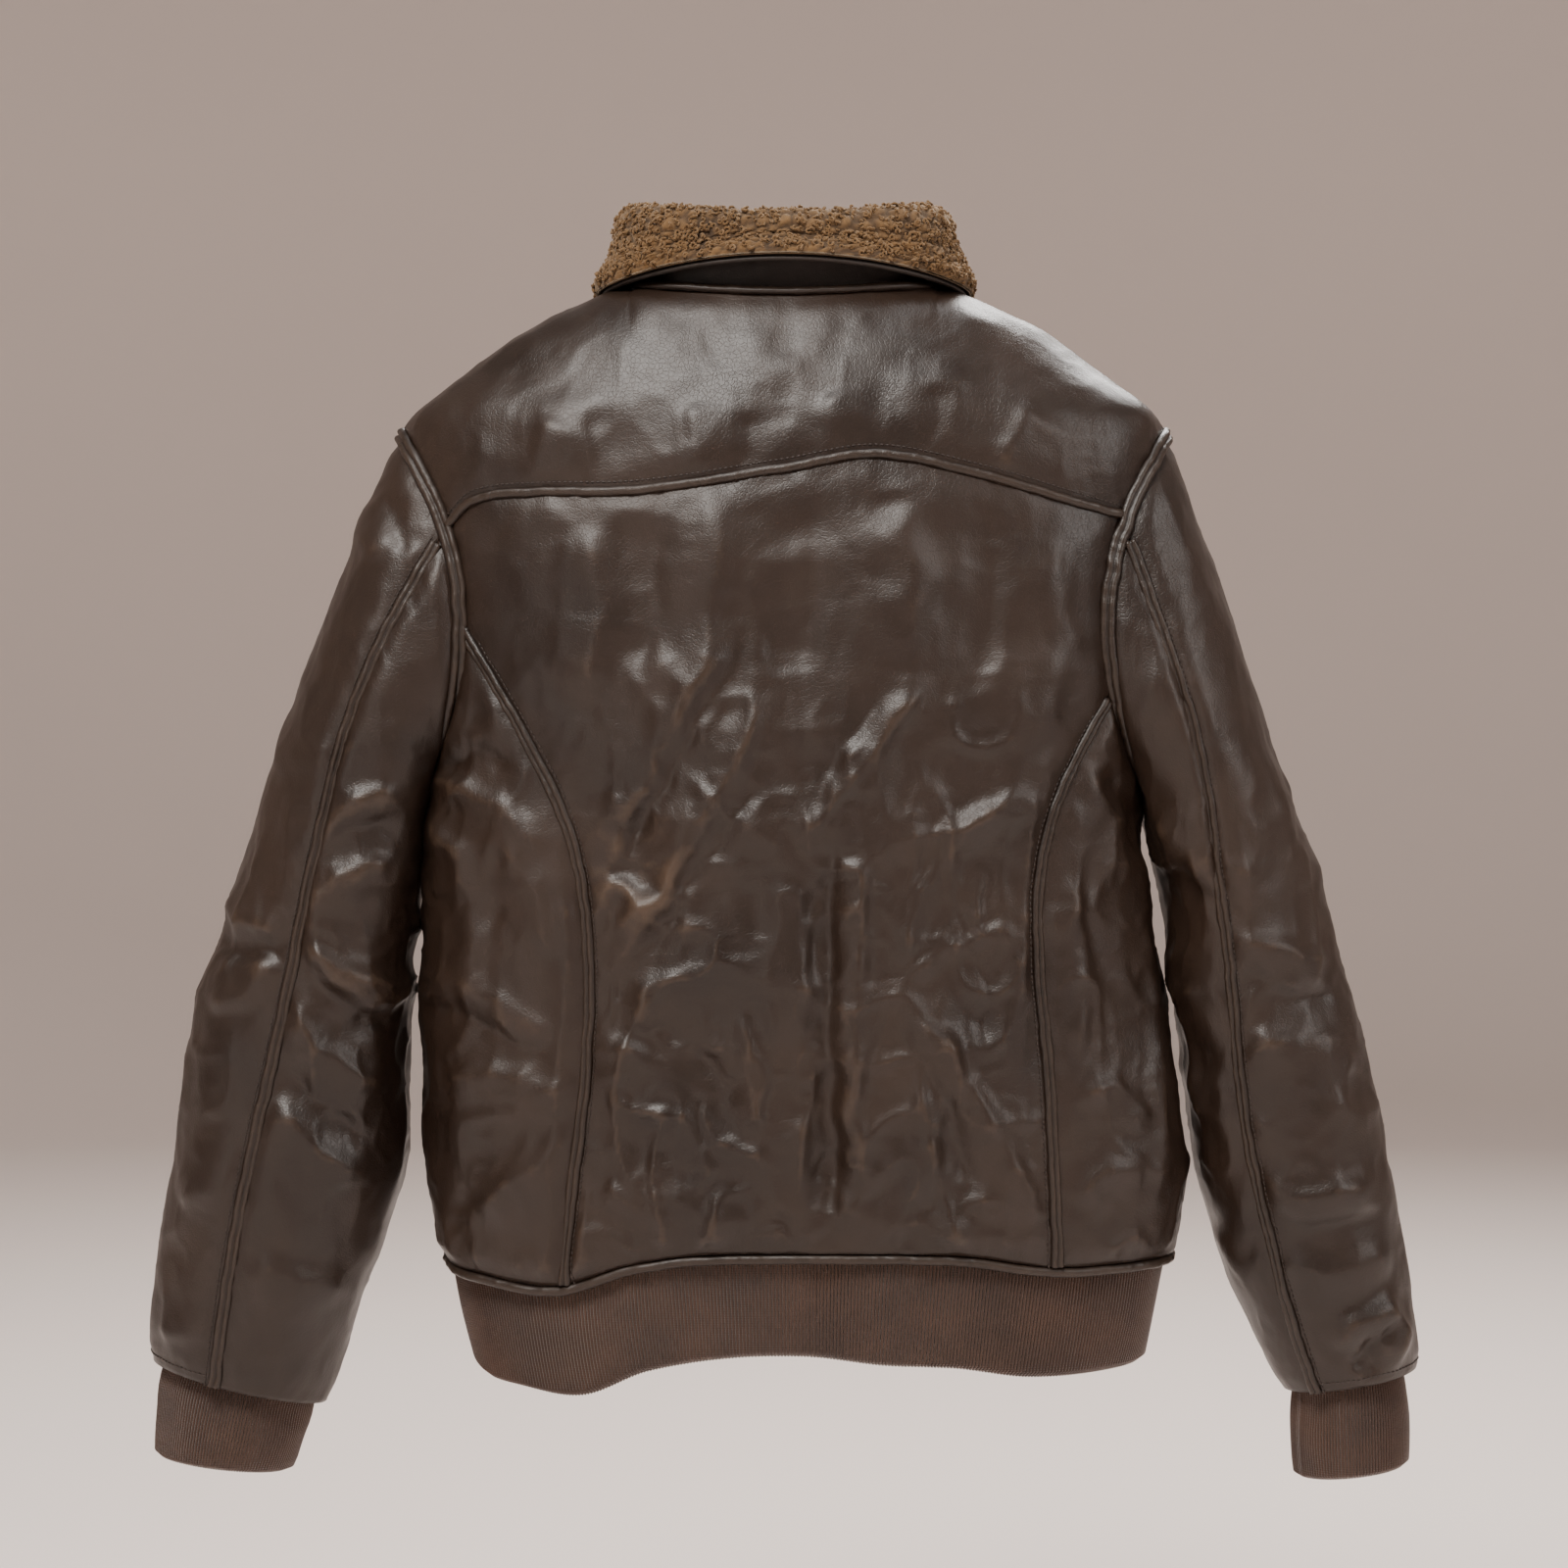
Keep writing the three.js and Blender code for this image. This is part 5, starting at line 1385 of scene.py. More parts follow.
def rib_tree():
    """Round ribs of knitting along lines."""
    tree, start, end = new_tree("rib knitting", [
        ("Rib radius", "NodeSocketFloat", RIB_PITCH * 0.52),
        ("Yarn", "NodeSocketMaterial", None),
    ])
    nodes = tree.nodes
    curve = nodes.new("GeometryNodeMeshToCurve")
    section = nodes.new("GeometryNodeCurvePrimitiveCircle")
    section.inputs["Resolution"].default_value = 5
    sweep = nodes.new("GeometryNodeCurveToMesh")
    sweep.inputs["Fill Caps"].default_value = True
    smoothed = nodes.new("GeometryNodeSetShadeSmooth")
    real = nodes.new("GeometryNodeRealizeInstances")
    paint = nodes.new("GeometryNodeSetMaterial")
    connect(tree, [
        (start, "Geometry", curve, "Mesh"),
        (start, "Rib radius", section, "Radius"),
        (curve, "Curve", sweep, "Curve"),
        (section, "Curve", sweep, "Profile Curve"),
        (sweep, "Mesh", smoothed, "Geometry"),
        (smoothed, "Geometry", real, "Geometry"),
        (real, "Geometry", paint, "Geometry"),
        (start, "Yarn", paint, "Material"),
        (paint, "Geometry", end, "Geometry"),
    ])
    return tree


def curl_tree():
    """Small bent tufts scattered over a pile's face."""
    tree, start, end = new_tree("pile curls", [
        ("Density", "NodeSocketFloat", 90000.0),
        ("Curl length", "NodeSocketFloat", 0.004),
        ("Curl radius", "NodeSocketFloat", 0.0008),
        ("Seed", "NodeSocketInt", 7),
        ("Wool", "NodeSocketMaterial", None),
    ])
    nodes = tree.nodes
    scatter = nodes.new("GeometryNodeDistributePointsOnFaces")
    scatter.distribute_method = "RANDOM"
    spiral = nodes.new("GeometryNodeCurveSpiral")
    spiral.inputs["Resolution"].default_value = 6
    spiral.inputs["Rotations"].default_value = 0.85
    section = nodes.new("GeometryNodeCurvePrimitiveCircle")
    section.inputs["Resolution"].default_value = 4
    sweep = nodes.new("GeometryNodeCurveToMesh")
    sweep.inputs["Fill Caps"].default_value = True
    turn = nodes.new("FunctionNodeRandomValue")
    turn.data_type = "FLOAT_VECTOR"
    turn.inputs["Min"].default_value = (-0.9, -0.9, 0)
    turn.inputs["Max"].default_value = (0.9, 0.9, 6.28)
    both = nodes.new("FunctionNodeRotateRotation")
    both.rotation_space = "LOCAL"
    size = nodes.new("FunctionNodeRandomValue")
    size.data_type = "FLOAT"
    size.inputs[2].default_value = 0.7
    size.inputs[3].default_value = 1.25
    place = nodes.new("GeometryNodeInstanceOnPoints")
    smoothed = nodes.new("GeometryNodeSetShadeSmooth")
    real = nodes.new("GeometryNodeRealizeInstances")
    paint = nodes.new("GeometryNodeSetMaterial")
    half_length = nodes.new("ShaderNodeMath")
    half_length.operation = "MULTIPLY"
    half_length.inputs[1].default_value = 0.32
    connect(tree, [
        (start, "Curl length", half_length, 0),
        (start, "Geometry", scatter, "Mesh"),
        (start, "Density", scatter, "Density"),
        (start, "Seed", scatter, "Seed"),
        (half_length, 0, spiral, "Start Radius"),
        (half_length, 0, spiral, "End Radius"),
        (half_length, 0, spiral, "Height"),
        (start, "Curl radius", section, "Radius"),
        (spiral, "Curve", sweep, "Curve"),
        (section, "Curve", sweep, "Profile Curve"),
        (scatter, "Points", place, "Points"),
        (sweep, "Mesh", place, "Instance"),
        (start, "Seed", turn, "Seed"),
        (start, "Seed", size, "Seed"),
        (scatter, "Rotation", both, "Rotation"),
        (turn, "Value", both, "Rotate By"),
        (both, "Rotation", place, "Rotation"),
        (size, 1, place, "Scale"),
        (place, "Instances", real, "Geometry"),
        (real, "Geometry", smoothed, "Geometry"),
        (smoothed, "Geometry", paint, "Geometry"),
        (start, "Wool", paint, "Material"),
        (paint, "Geometry", end, "Geometry"),
    ])
    return tree


STITCHES, RIBS, CURLS = stitch_tree(), rib_tree(), curl_tree()
stitched = {"torso": [], "sleeve_left": [], "sleeve_right": [], "flap_left": [], "flap_right": []}


def stitch_along(body, path, normals=None):
    if normals is not None:
        path, _, _ = even_path(path, normals, 0.003)
    stitched[body].append(path)


path, n = line_on("yoke", "bottom", 0.0058, 0.0003)
stitch_along("torso", path, n)
for side in ("left", "right"):
    path, n = line_on("back", side, 0.0062, 0.0003)
    below = path[:, 2] < (-0.222 if side == "left" else -0.266)
    stitch_along("torso", path[below], n[below])
    path, n = line_on(f"front_{side}", "right" if side == "left" else "left", 0.0065, 0.0003)
    stitch_along("torso", path, n)
    path, n = line_on(f"front_{side}", "left" if side == "left" else "right", 0.006, 0.0003)
    stitch_along("torso", path, n)
    path, n = line_on(f"top_{side}", "left", 0.0062, 0.0003)
    stitch_along(f"sleeve_{side}", path[4:], n[4:])
    path, n = line_on(f"top_{side}", "top", 0.006, 0.0003)
    stitch_along(f"sleeve_{side}", path, n)


# ---------------------------------------------------------------- hem piping, waistband and cuffs
TAB_WIDTH = 62 * MM
tab_angle = float(angle_of(TAB_WIDTH + ZIP_GAP, HEM_LEVEL, 1))


def band_point(angle, v, proud=0.0):
    """A point of the waistband at an angle and a share v of its height from its lower edge."""
    low = body_at(angle, np.full(np.shape(angle), HEM_LEVEL))
    wave = hem_at(low[..., 0], low[..., 1]) - HEM_LEVEL
    run = np.stack([low[..., 0], low[..., 1], np.zeros(np.shape(angle))], -1)
    droop = 0.003 * waver(run, 0.085, 2) * (1 - v)
    z = lerp(BAND_BOTTOM, HEM_LEVEL + 9 * MM, v) + wave + droop
    inset = (7.2 + 10 * (1 - v)) * MM - proud
    inset = inset - 0.0030 * waver(run, 0.055, 3) * np.sin(
        np.clip(v * 1.15, 0, 1) * math.pi
    ) - 0.0022 * waver(run, 0.024, 4) * v
    return body_at(angle, z, inset)


def around(point, low, high, pitch):
    """Angles from low to high, evenly spaced along the line that point draws."""
    turn = np.linspace(low, high, 1500)
    run = np.concatenate([[0], np.cumsum(np.linalg.norm(np.diff(point(turn), axis=0), axis=1))])
    return np.interp(np.linspace(0, run[-1], int(run[-1] / pitch) + 1), run, turn)


def knit_band(name, point, angles, rows, closed):
    """Ribs from top to bottom, round the lower edge and a little way up inside, over a plain knitted back."""
    ribs = []
    for angle in angles[:-1] if closed else angles:
        v = np.linspace(1, 0.02, rows)
        face = point(np.full(rows, angle), v, 0.0009)
        under = point(np.array([angle]), np.array([-0.022]), -0.0022)
        inside = point(np.full(3, angle), np.array([0.02, 0.12, 0.3]), -0.0052)
        ribs.append(np.concatenate([face, under, inside]))
    ribs = made_with(RIBS, lines_piece(name + "_ribs", ribs), {"Yarn": KNIT})
    outside = [(1, 0.0), (0.75, 0.0), (0.5, 0.0), (0.25, 0.0), (0.04, 0.0)]
    inside = [(-0.012, -0.0025), (0.04, -0.005), (0.5, -0.005), (1, -0.005)]
    grid = np.array([point(angles, np.full(angles.shape, v), proud) for v, proud in outside + inside])
    if closed:
        grid = grid[:, :-1]
    rows_n, columns = grid.shape[:2]
    faces = [tuple(f) for f in grid_faces(rows_n, columns, ring=closed)]
    top, bottom = (rows_n - 1) * columns, 0
    for i in range(columns if closed else columns - 1):
        k = (i + 1) % columns
        faces.append((top + i, top + k, bottom + k, bottom + i))
    if not closed:
        faces.append(tuple(r * columns for r in range(rows_n)))
        faces.append(tuple(r * columns + columns - 1 for r in reversed(range(rows_n))))
    back = outward(mesh_piece(name + "_back", grid, faces, KNIT))
    return join_pieces(name, [ribs, back])


band_turns = around(
    lambda a: band_point(a, np.full(a.shape, 0.5)), math.pi - tab_angle - 0.01,
    2 * math.pi + tab_angle + 0.01, RIB_PITCH,
)
waistband = knit_band("waistband", band_point, band_turns, 11, False)
hold_to(waistband, "torso", "waistband_rib", slot="rib_knit", fill=0.3)

zip_angle = float(angle_of(ZIP_GAP + 1.5 * MM, HEM_LEVEL, 1))
turns = np.linspace(math.pi - zip_angle, 2 * math.pi + zip_angle, 700)
on = body_at(turns, np.full(turns.shape, HEM_LEVEL), 0.0033)
piping_path = on.copy()
piping_path[:, 2] = hem_at(on[:, 0], on[:, 1]) - 0.0036
piping_out = body_at(turns, np.full(turns.shape, HEM_LEVEL)) - on
piping = swept(
    "hem_piping_cord", piping_path, piping_out,
    [(0.0031 * math.cos(t), 0.0031 * math.sin(t)) for t in np.linspace(0, 2 * math.pi, 12, endpoint=False)],
    EDGE_LEATHER, 0.35, 44,
)
hold_to(piping, "torso", "hem_piping", slot="leather")


def cuff_surface(name):
    lines = SLEEVES[name]
    side = lines["side"]
    outer, inner = even_curve(lines["outer"]), even_curve(lines["inner"])
    end = 1 - 6 / 550
    o, i = outer(end), inner(end)
    inset = (6 + 0.8 + 1.5 + 3) * MM
    arm = o - i
    arm = arm * (0.5 - inset / np.linalg.norm(arm))
    o2, i2 = np.array(lines["cuff_outer"]) * MM, np.array(lines["cuff_inner"]) * MM

    def point(angle, v, proud=0.0):
        angle, v = np.broadcast_arrays(np.asarray(angle, float), np.asarray(v, float))
        c, s = np.cos(angle), np.sin(angle)
        top = (o + i) / 2 + (arm + proud * arm / np.linalg.norm(arm)) * c[..., None]
        low = (o2 + i2) / 2 + ((o2 - i2) / 2 + proud * (o2 - i2) / np.linalg.norm(o2 - i2)) * c[..., None]
        y_top = SLEEVE_FORWARD + (47 * MM - inset + proud) * s
        y_low = SLEEVE_FORWARD + 4 * MM + (34 * MM + proud) * s
        flat = lerp(low, top, v[..., None])
        y = lerp(y_low, y_top, v)
        bulge = 0.0022 * np.sin(np.clip(v, 0, 1) * math.pi)
        middle = lerp((o2 + i2) / 2, (o + i) / 2, v[..., None])
        away = unit(
            np.stack(
                [flat[..., 0] - middle[..., 0], y - lerp(SLEEVE_FORWARD + 4 * MM, SLEEVE_FORWARD, v)], -1,
            )
        )
        soft = bulge + 0.0016 * waver(
            np.stack([np.cos(angle), np.sin(angle), v * 2], -1), 0.7, 4 + side,
        ) * np.clip(v + 0.3, 0, 1)
        return np.stack(
            [side * (flat[..., 0] + away[..., 0] * soft), y + away[..., 1] * soft, flat[..., 1]], -1,
        )

    return point


for name in ("left", "right"):
    point = cuff_surface(name)
    cuff_turns = around(lambda a: point(a, np.full(a.shape, 0.5)), 0, 2 * math.pi, RIB_PITCH * 0.92)
    hold_to(
        knit_band(f"cuff_{name}_knit", point, cuff_turns, 10, True), f"sleeve_{name}", f"cuff_{name}",
        slot="rib_knit", fill=0.3,
    )


# ---------------------------------------------------------------- collar
STAND_SHARE, FOLD_SHARE, FOLD_RADIUS = 0.3, 0.28, 8 * MM
COLLAR_INSET = 11.6 * MM
LEAF_EDGE = [(0, 62, -112), (0.12, 84, -96), (0.26, 110, -58), (0.4, 121, -24), (0.52, 116, -4)]
leaf_x, leaf_z = through(LEAF_EDGE, 1, key_unit=1), through(LEAF_EDGE, 2, key_unit=1)


def neck_seam_at(x, side):
    p = face_at(np.array(x * MM), neck_level(np.array(x * MM), side), side)
    return np.array([p[0], p[1] - side * COLLAR_INSET, p[2] - 5 * MM])


neck_side = np.array(
    [NECK_EDGE - COLLAR_INSET - 1 * MM, 0, float(seam_level(np.array(NECK_EDGE))) - 5 * MM]
)
right_neck = [neck_seam_at(x, 1) for x in (20, 45, 72)] + [neck_side] + [
    neck_seam_at(x, -1) for x in (70.2, 37.8)
]
neck_knots = np.array(
    [p * np.array([-1, 1, 1]) for p in right_neck] + [neck_seam_at(0, -1)] + right_neck[::-1]
)


def neck_point(t):
    """A point of the neck seam, from 0 at the left front end, round the back, to 1 at the right one."""
    p = np.concatenate(
        [[2 * neck_knots[0] - neck_knots[1]], neck_knots, [2 * neck_knots[-1] - neck_knots[-2]]]
    )
    t = np.clip(np.asarray(t, float), 0, 1) * (len(neck_knots) - 1)
    i = np.minimum(t.astype(int), len(neck_knots) - 2)
    f = (t - i)[..., None]
    p0, p1, p2, p3 = p[i], p[i + 1], p[i + 2], p[i + 3]
    d0, d1, d2 = (
        np.linalg.norm(b - a, axis=-1, keepdims=True) ** 0.5 for a, b in ((p0, p1), (p1, p2), (p2, p3))
    )
    m1 = ((p1 - p0) / d0 - (p2 - p0) / (d0 + d1) + (p2 - p1) / d1) * d1
    m2 = ((p2 - p1) / d1 - (p3 - p1) / (d1 + d2) + (p3 - p2) / d2) * d1
    begun = (2 * f**3 - 3 * f**2 + 1) * p1 + (f**3 - 2 * f**2 + f) * m1
    return begun + (3 * f**2 - 2 * f**3) * p2 + (f**3 - f**2) * m2


def leaf_edge_at(t):
    b = 1 - np.abs(t - 0.5) * 2
    side = np.where(t < 0.5, -1.0, 1.0)
    x, z = side * leaf_x(b), leaf_z(b)
    on_front = np.where(z < ridge_level(x) - 0.001, face_at(x, z, 1)[..., 1], 0)
    lying = np.stack([x, on_front + 9 * MM, z + 4 * MM], -1)
    turn = (1 - b) / 0.48 * math.pi / 2
    reach = neck_point(np.array(0.5))[1] - 30 * MM
    high = lerp(13 * MM, leaf_z(np.array(0.52)) + 4 * MM, np.sin(turn) ** 2)
    standing = np.stack([side * leaf_x(np.array(0.52)) * np.sin(turn), reach * np.cos(turn), high], -1)
    return np.where((b < 0.52)[..., None], lying, standing)


def collar_at(t, w):
    """A point of the collar's middle: up its stand, over its fold and down its leaf."""
    t, w = np.broadcast_arrays(np.asarray(t, float), np.asarray(w, float))
    along = unit(neck_point(np.minimum(1, t + 0.01)) - neck_point(np.maximum(0, t - 0.01)))
    out = unit(np.cross(along, np.array([0, 0, 1.0])))
    up = unit(np.cross(out, along))
    neck = neck_point(t)
    stand = lerp(28 * MM, 40 * MM, smooth(1 - np.abs(t - 0.5) * 2, 0, 0.5))[..., None]
    rising = neck + up * stand * np.minimum(1, w / STAND_SHARE)[..., None]
    turn = np.clip((w - STAND_SHARE) / FOLD_SHARE, 0, 1)[..., None] * math.pi
    over = neck + up * stand + out * FOLD_RADIUS * (1 - np.cos(turn)) + up * FOLD_RADIUS * np.sin(turn)
    q = np.clip((w - STAND_SHARE - FOLD_SHARE) / (1 - STAND_SHARE - FOLD_SHARE), 0, 1)[..., None]
    edge = leaf_edge_at(t)
    bend = over - up * 0.3 * np.linalg.norm(over - edge, axis=-1, keepdims=True)
    falling = over * (1 - q) ** 2 + bend * 2 * q * (1 - q) + edge * q * q
    w = w[..., None]
    return np.where(w <= STAND_SHARE, rising, np.where(w <= STAND_SHARE + FOLD_SHARE, over, falling))


def collar_grid(low, high, columns, rows):
    w, t = np.meshgrid(np.linspace(low, high, rows), np.linspace(0.004, 0.996, columns), indexing="ij")
    return collar_at(t, w)


def clumps(u, v, cell_u, cell_v, seed):
    """Rounded tufts on jittered cells, from 0 in the cracks between them to 1 on their crowns."""
    a, b = u / cell_u, v / cell_v
    i, j = np.floor(a).astype(np.int64), np.floor(b).astype(np.int64)
    first, second = np.full(u.shape, 9.0), np.full(u.shape, 9.0)
    for di in (-1, 0, 1):
        for dj in (-1, 0, 1):
            k, m = i + di, j + dj
            x = k + 0.5 + 0.42 * hashed(k, m, 0 * k, seed)
            y = m + 0.5 + 0.42 * hashed(k, m, 0 * k + 1, seed)
            d = np.hypot(a - x, b - y)
            second = np.minimum(second, np.maximum(first, d))
            first = np.minimum(first, d)
    return np.clip((second - first) / 0.55, 0, 1) ** 0.7


collar_leather = []
for name, low, high in (
    ("collar_stand_leather", 0.0, STAND_SHARE - 0.005), ("collar_leaf_leather", STAND_SHARE, 0.99),
):
    grid = even_steps(even_steps(collar_grid(low, high, 200, 60), 0, 14 if low == 0 else 44), 1, 200)
    n = -normals_of(grid)
    soft = 0.0006 * waver(grid, 0.03, 2) + 0.0005 * (creases(grid, 0.014, 3) - 0.3)
    distances, _ = edge_runs(grid)
    grid = grid - n * (0.0016 - soft * smooth(np.minimum.reduce(distances), 0, 0.01))[..., None]
    piece = shell_piece(
        name, grid, UNDER_LEATHER, flip=False, wall=-0.0012, numbers={"wear_and_highlight": np.zeros(grid.shape[:2])},
    )
    thick = piece.modifiers.new("thickness", "SOLIDIFY")
    thick.thickness = 0.0012
    thick.offset = -1
    collar_leather.append(piece)


def applied(piece):
    """The piece with its modifiers made part of its mesh."""
    mesh = bpy.data.meshes.new_from_object(piece.evaluated_get(bpy.context.evaluated_depsgraph_get()))
    piece.modifiers.clear()
    piece.data = mesh
    return piece


bpy.context.view_layer.update()
for piece, node in zip(collar_leather, ("collar_stand", "collar_leaf")):
    hold_to(applied(piece), "torso", node, slot="leather", fill=0.3)

pile_middle = even_steps(even_steps(collar_grid(0.02, 1.0, 420, 120), 0, 118), 1, 400)
pile_normal = -unit(blurred(normals_of(pile_middle), 2))
distances, alongs = edge_runs(pile_middle)
run_u, run_v = alongs[0], alongs[2]
warp = 0.0025 * waver(pile_middle, 0.012, 5)
tufts = clumps(run_u + warp, run_v + 0.7 * warp, 0.0082, 0.0056, 11)
small = clumps(run_u - warp, run_v + warp, 0.0040, 0.0032, 12)
rows_of = creases(pile_middle, 0.020, 15, (2.2, 2.2, 0.8))
rim = np.minimum.reduce(distances)
pile_height = 0.0062 + 0.0022 * tufts + 0.0009 * small - 0.0016 * rows_of
pile_height = pile_height + 0.0008 * waver(pile_middle, 0.03, 6)
pile_height = 0.0022 + (pile_height - 0.0022) * np.clip(rim / 0.006, 0, 1) ** 0.5
pile_face = pile_middle + pile_normal * pile_height[..., None]
# Where the painted highlight goes: strongest on the tufts' crowns, none in the cracks and grooves between
# them.
crown = np.clip(0.75 * tufts + 0.35 * small - 0.5 * rows_of, 0, 1)
pile_under = pile_middle + pile_normal * 0.0014
count = pile_face.shape[0] * pile_face.shape[1]
verts = np.concatenate([pile_face.reshape(-1, 3), pile_under.reshape(-1, 3)])
rows_n, columns = pile_face.shape[:2]
faces = [tuple(f) for f in grid_faces(rows_n, columns, flip=True)] + [
    tuple(f) for f in grid_faces(rows_n, columns, start=count)
]
loop = [(0, i) for i in range(columns)] + [(j, columns - 1) for j in range(1, rows_n)]
loop += [(rows_n - 1, i) for i in range(columns - 2, -1, -1)] + [(j, 0) for j in range(rows_n - 2, 0, -1)]
loop = [j * columns + i for j, i in loop]
faces += [(b, a, a + count, b + count) for a, b in zip(loop, loop[1:] + loop[:1])]
pile = outward(mesh_piece("collar_fleece", verts, faces, PILE))
put_number(pile, "painted_highlight", np.concatenate([crown.ravel(), np.zeros(count)]))
carrier = mesh_piece(
    "curl_bed", pile_face[2:-2, 2:-2], grid_faces(rows_n - 4, columns - 4, flip=True), None,
)
curls = made_with(CURLS, carrier, {"Density": 55000.0, "Wool": PILE})
curls.name = "collar_curls"
# The curls get a strong painted highlight.
put_number(curls, "painted_highlight", np.full(len(curls.data.vertices), 0.75))
pile = join_pieces("collar_fleece", [pile, curls])
hold_to(pile, "torso", "collar_pile", slot="pile", fill=0.8)

# the band that binds the neck seam
neck_t = np.linspace(0.02, 0.98, 240)
neck_path = neck_point(neck_t)
along = unit(np.gradient(neck_path, axis=0))
neck_out = unit(np.cross(along, np.array([0, 0, 1.0])))
band_path = neck_path + neck_out * 0.0112 + np.array([0, 0, 0.0062])
band = swept(
    "neck_seam_band", band_path, neck_out * 0.35 + np.array([0, 0, 0.95]), round_ridge(0.0046, 0.0020),
    EDGE_LEATHER, 0.25, 71,
)
hold_to(band, "torso", slot="leather")


# ---------------------------------------------------------------- linings, wind flap, label and hanging loop
def lining_sheet(name, grid, flip, body, node, depth):
    """A lining hung inside a panel, from the panel's own grid."""
    n = unit(blurred(normals_of(grid, flip), 6))
    distances, _ = edge_runs(grid)
    inner = smooth(np.minimum.reduce(distances), 0, 0.03)
    ripple = 0.0007 * inner * (waver(grid, 0.05, 3) + 0.6 * waver(grid * np.array([1, 1, 0.3]), 0.018, 4))
    sheet_grid = grid - n * (depth - ripple)[..., None]
    piece = mesh_piece(name, sheet_grid, grid_faces(*grid.shape[:2], flip=flip), LINING)
    thick = piece.modifiers.new("thickness", "SOLIDIFY")
    thick.thickness, thick.offset = 0.0009, -1
    bpy.context.view_layer.update()
    hold_to(applied(piece), body, node, slot="lining")


def trimmed(grid, bottom=0.0, top=0.0, left=0.0, right=0.0, rows=70, columns=60):
    """The part of a grid inside the given shares of its height and width."""
    g = even_steps(even_steps(grid, 0, 200), 1, 200)
    r = np.linspace(bottom, 1 - top, rows) * 200
    c = np.linspace(left, 1 - right, columns) * 200
    return g[np.round(r).astype(int)][:, np.round(c).astype(int)]


whole_back = panel_grid(-1, lambda z: armhole_x(np.clip(z, ARMPIT_LEVEL, SHOULDER_LEVEL), -1) * 0.965,
                        lambda z: armhole_x(np.clip(z, ARMPIT_LEVEL, SHOULDER_LEVEL), 1) * 0.965,
                        hem_back, lambda x: eased_top(x, -1), 90, 120, gather=2.0)
lining_sheet(
    "lining_back_satin", trimmed(whole_back, 0.04, 0.045), False, "torso", "lining_back", LINING_DEPTH,
)
for side in ("left", "right"):
    sign = SLEEVES[side]["side"]
    inner_edge = {"left": 0.0, "right": 0.0, ("right" if sign < 0 else "left"): 0.10}
    grid = trimmed(
        front_grid(sign), 0.04, 0.05, max(inner_edge["left"], 0.02), max(inner_edge["right"], 0.02),
    )
    lining_sheet(f"lining_front_{side}_satin", grid, True, "torso", f"lining_front_{side}", LINING_DEPTH)
    s, u = np.meshgrid(np.linspace(0.03, 0.98, 90), np.linspace(0, 2 * math.pi, 73), indexing="ij")
    lining_sheet(
        f"sleeve_lining_{side}_satin", surfaces[side](u, s), sign > 0, f"sleeve_{side}",
        f"sleeve_lining_{side}", 0.0092,
    )

ZIP_SLOPE = 14 / 594
ZIP_TURN = math.atan(ZIP_SLOPE)
ZIP_TOP, ZIP_BOTTOM = -78 * MM, -662 * MM
ZIP_ORIGIN = np.array([0, 80 * MM + (NECK_FRONT - ZIP_TOP) * ZIP_SLOPE, ZIP_TOP])
ZIP_LENGTH = (ZIP_TOP - ZIP_BOTTOM) / math.cos(ZIP_TURN)
TAPE_WIDTH = 16 * MM


def on_zip(x, y, z):
    """A point given in the zip's own frame, whose -z runs down along it."""
    x, y, z = np.broadcast_arrays(np.asarray(x, float), np.asarray(y, float), np.asarray(z, float))
    c, s = math.cos(ZIP_TURN), math.sin(ZIP_TURN)
    return ZIP_ORIGIN + np.stack([x, y * c - z * s, y * s + z * c], -1)


def pillow(
    name, place, width, height, wall, material, nu=60, nv=40, round_off=0.002, crown=0.0, foot=None,
    wear_and_highlight=0.5,
):
    """A flat stuffed piece. place(u, v, h) gives the point a height h over its seat."""
    u, v = np.meshgrid(np.linspace(0, 1, nu + 1), np.linspace(0, 1, nv + 1))
    low = foot(u) if foot is not None else np.zeros(u.shape)
    v_real = lerp(low, 1, v)
    edge = np.minimum(np.minimum(u, 1 - u) * width, np.minimum(v, 1 - v) * height)
    near = np.clip(edge / round_off, 0, 1)
    h = wall * np.sqrt(
        np.clip(1 - (1 - near) ** 2, 0, 1)
    ) + crown * smooth(edge, 0, 0.35 * min(width, height))
    face = place(u, v_real, h)
    seat = place(u, v_real, np.zeros(u.shape))
    rows, columns = u.shape
    verts = np.concatenate([face.reshape(-1, 3), seat.reshape(-1, 3)])
    count = rows * columns
    faces = [tuple(f) for f in grid_faces(rows, columns)] + [
        tuple(f[::-1]) for f in grid_faces(rows, columns, start=count)
    ]
    piece = mesh_piece(name, verts, faces, material)
    # Lighter colour along the rounded edges: partly real wear, partly painted highlight.
    worn_and_lit = np.exp(-((edge - 0.002) / 0.0022) ** 2) * wear_and_highlight
    put_number(piece, "wear_and_highlight", np.concatenate([worn_and_lit.ravel(), np.zeros(count)]))
    weld = piece.modifiers.new("weld", "WELD")
    weld.merge_threshold = 1e-5
    bpy.context.view_layer.update()
    return outward(applied(piece))




def wind_flap_place(u, v, h):
    return on_zip((u - 0.5) * 0.032 - 0.003, h - 0.0113, -0.019 - (1 - v) * (ZIP_LENGTH - 0.052))


wind = pillow("wind_flap_leather", wind_flap_place, 0.032, 0.52, 0.0014, UNDER_LEATHER, 16, 120, 0.0012)
hold_to(wind, "torso", "wind_flap", slot="leather", fill=0.2)
for side in ("left", "right"):
    sign = SLEEVES[side]["side"]

    def tape_place(u, v, h, sign=sign):
        return on_zip(sign * 0.0086 + (u - 0.5) * TAPE_WIDTH, h - 0.0078, (v - 1) * ZIP_LENGTH)

    woven = pillow(
        f"zip_tape_{side}_woven", tape_place, TAPE_WIDTH, ZIP_LENGTH, 0.0010, TAPE, 12, 160, 0.0004,
    )
    hold_to(woven, "torso", f"zip_tape_{side}", slot="zip_tape")

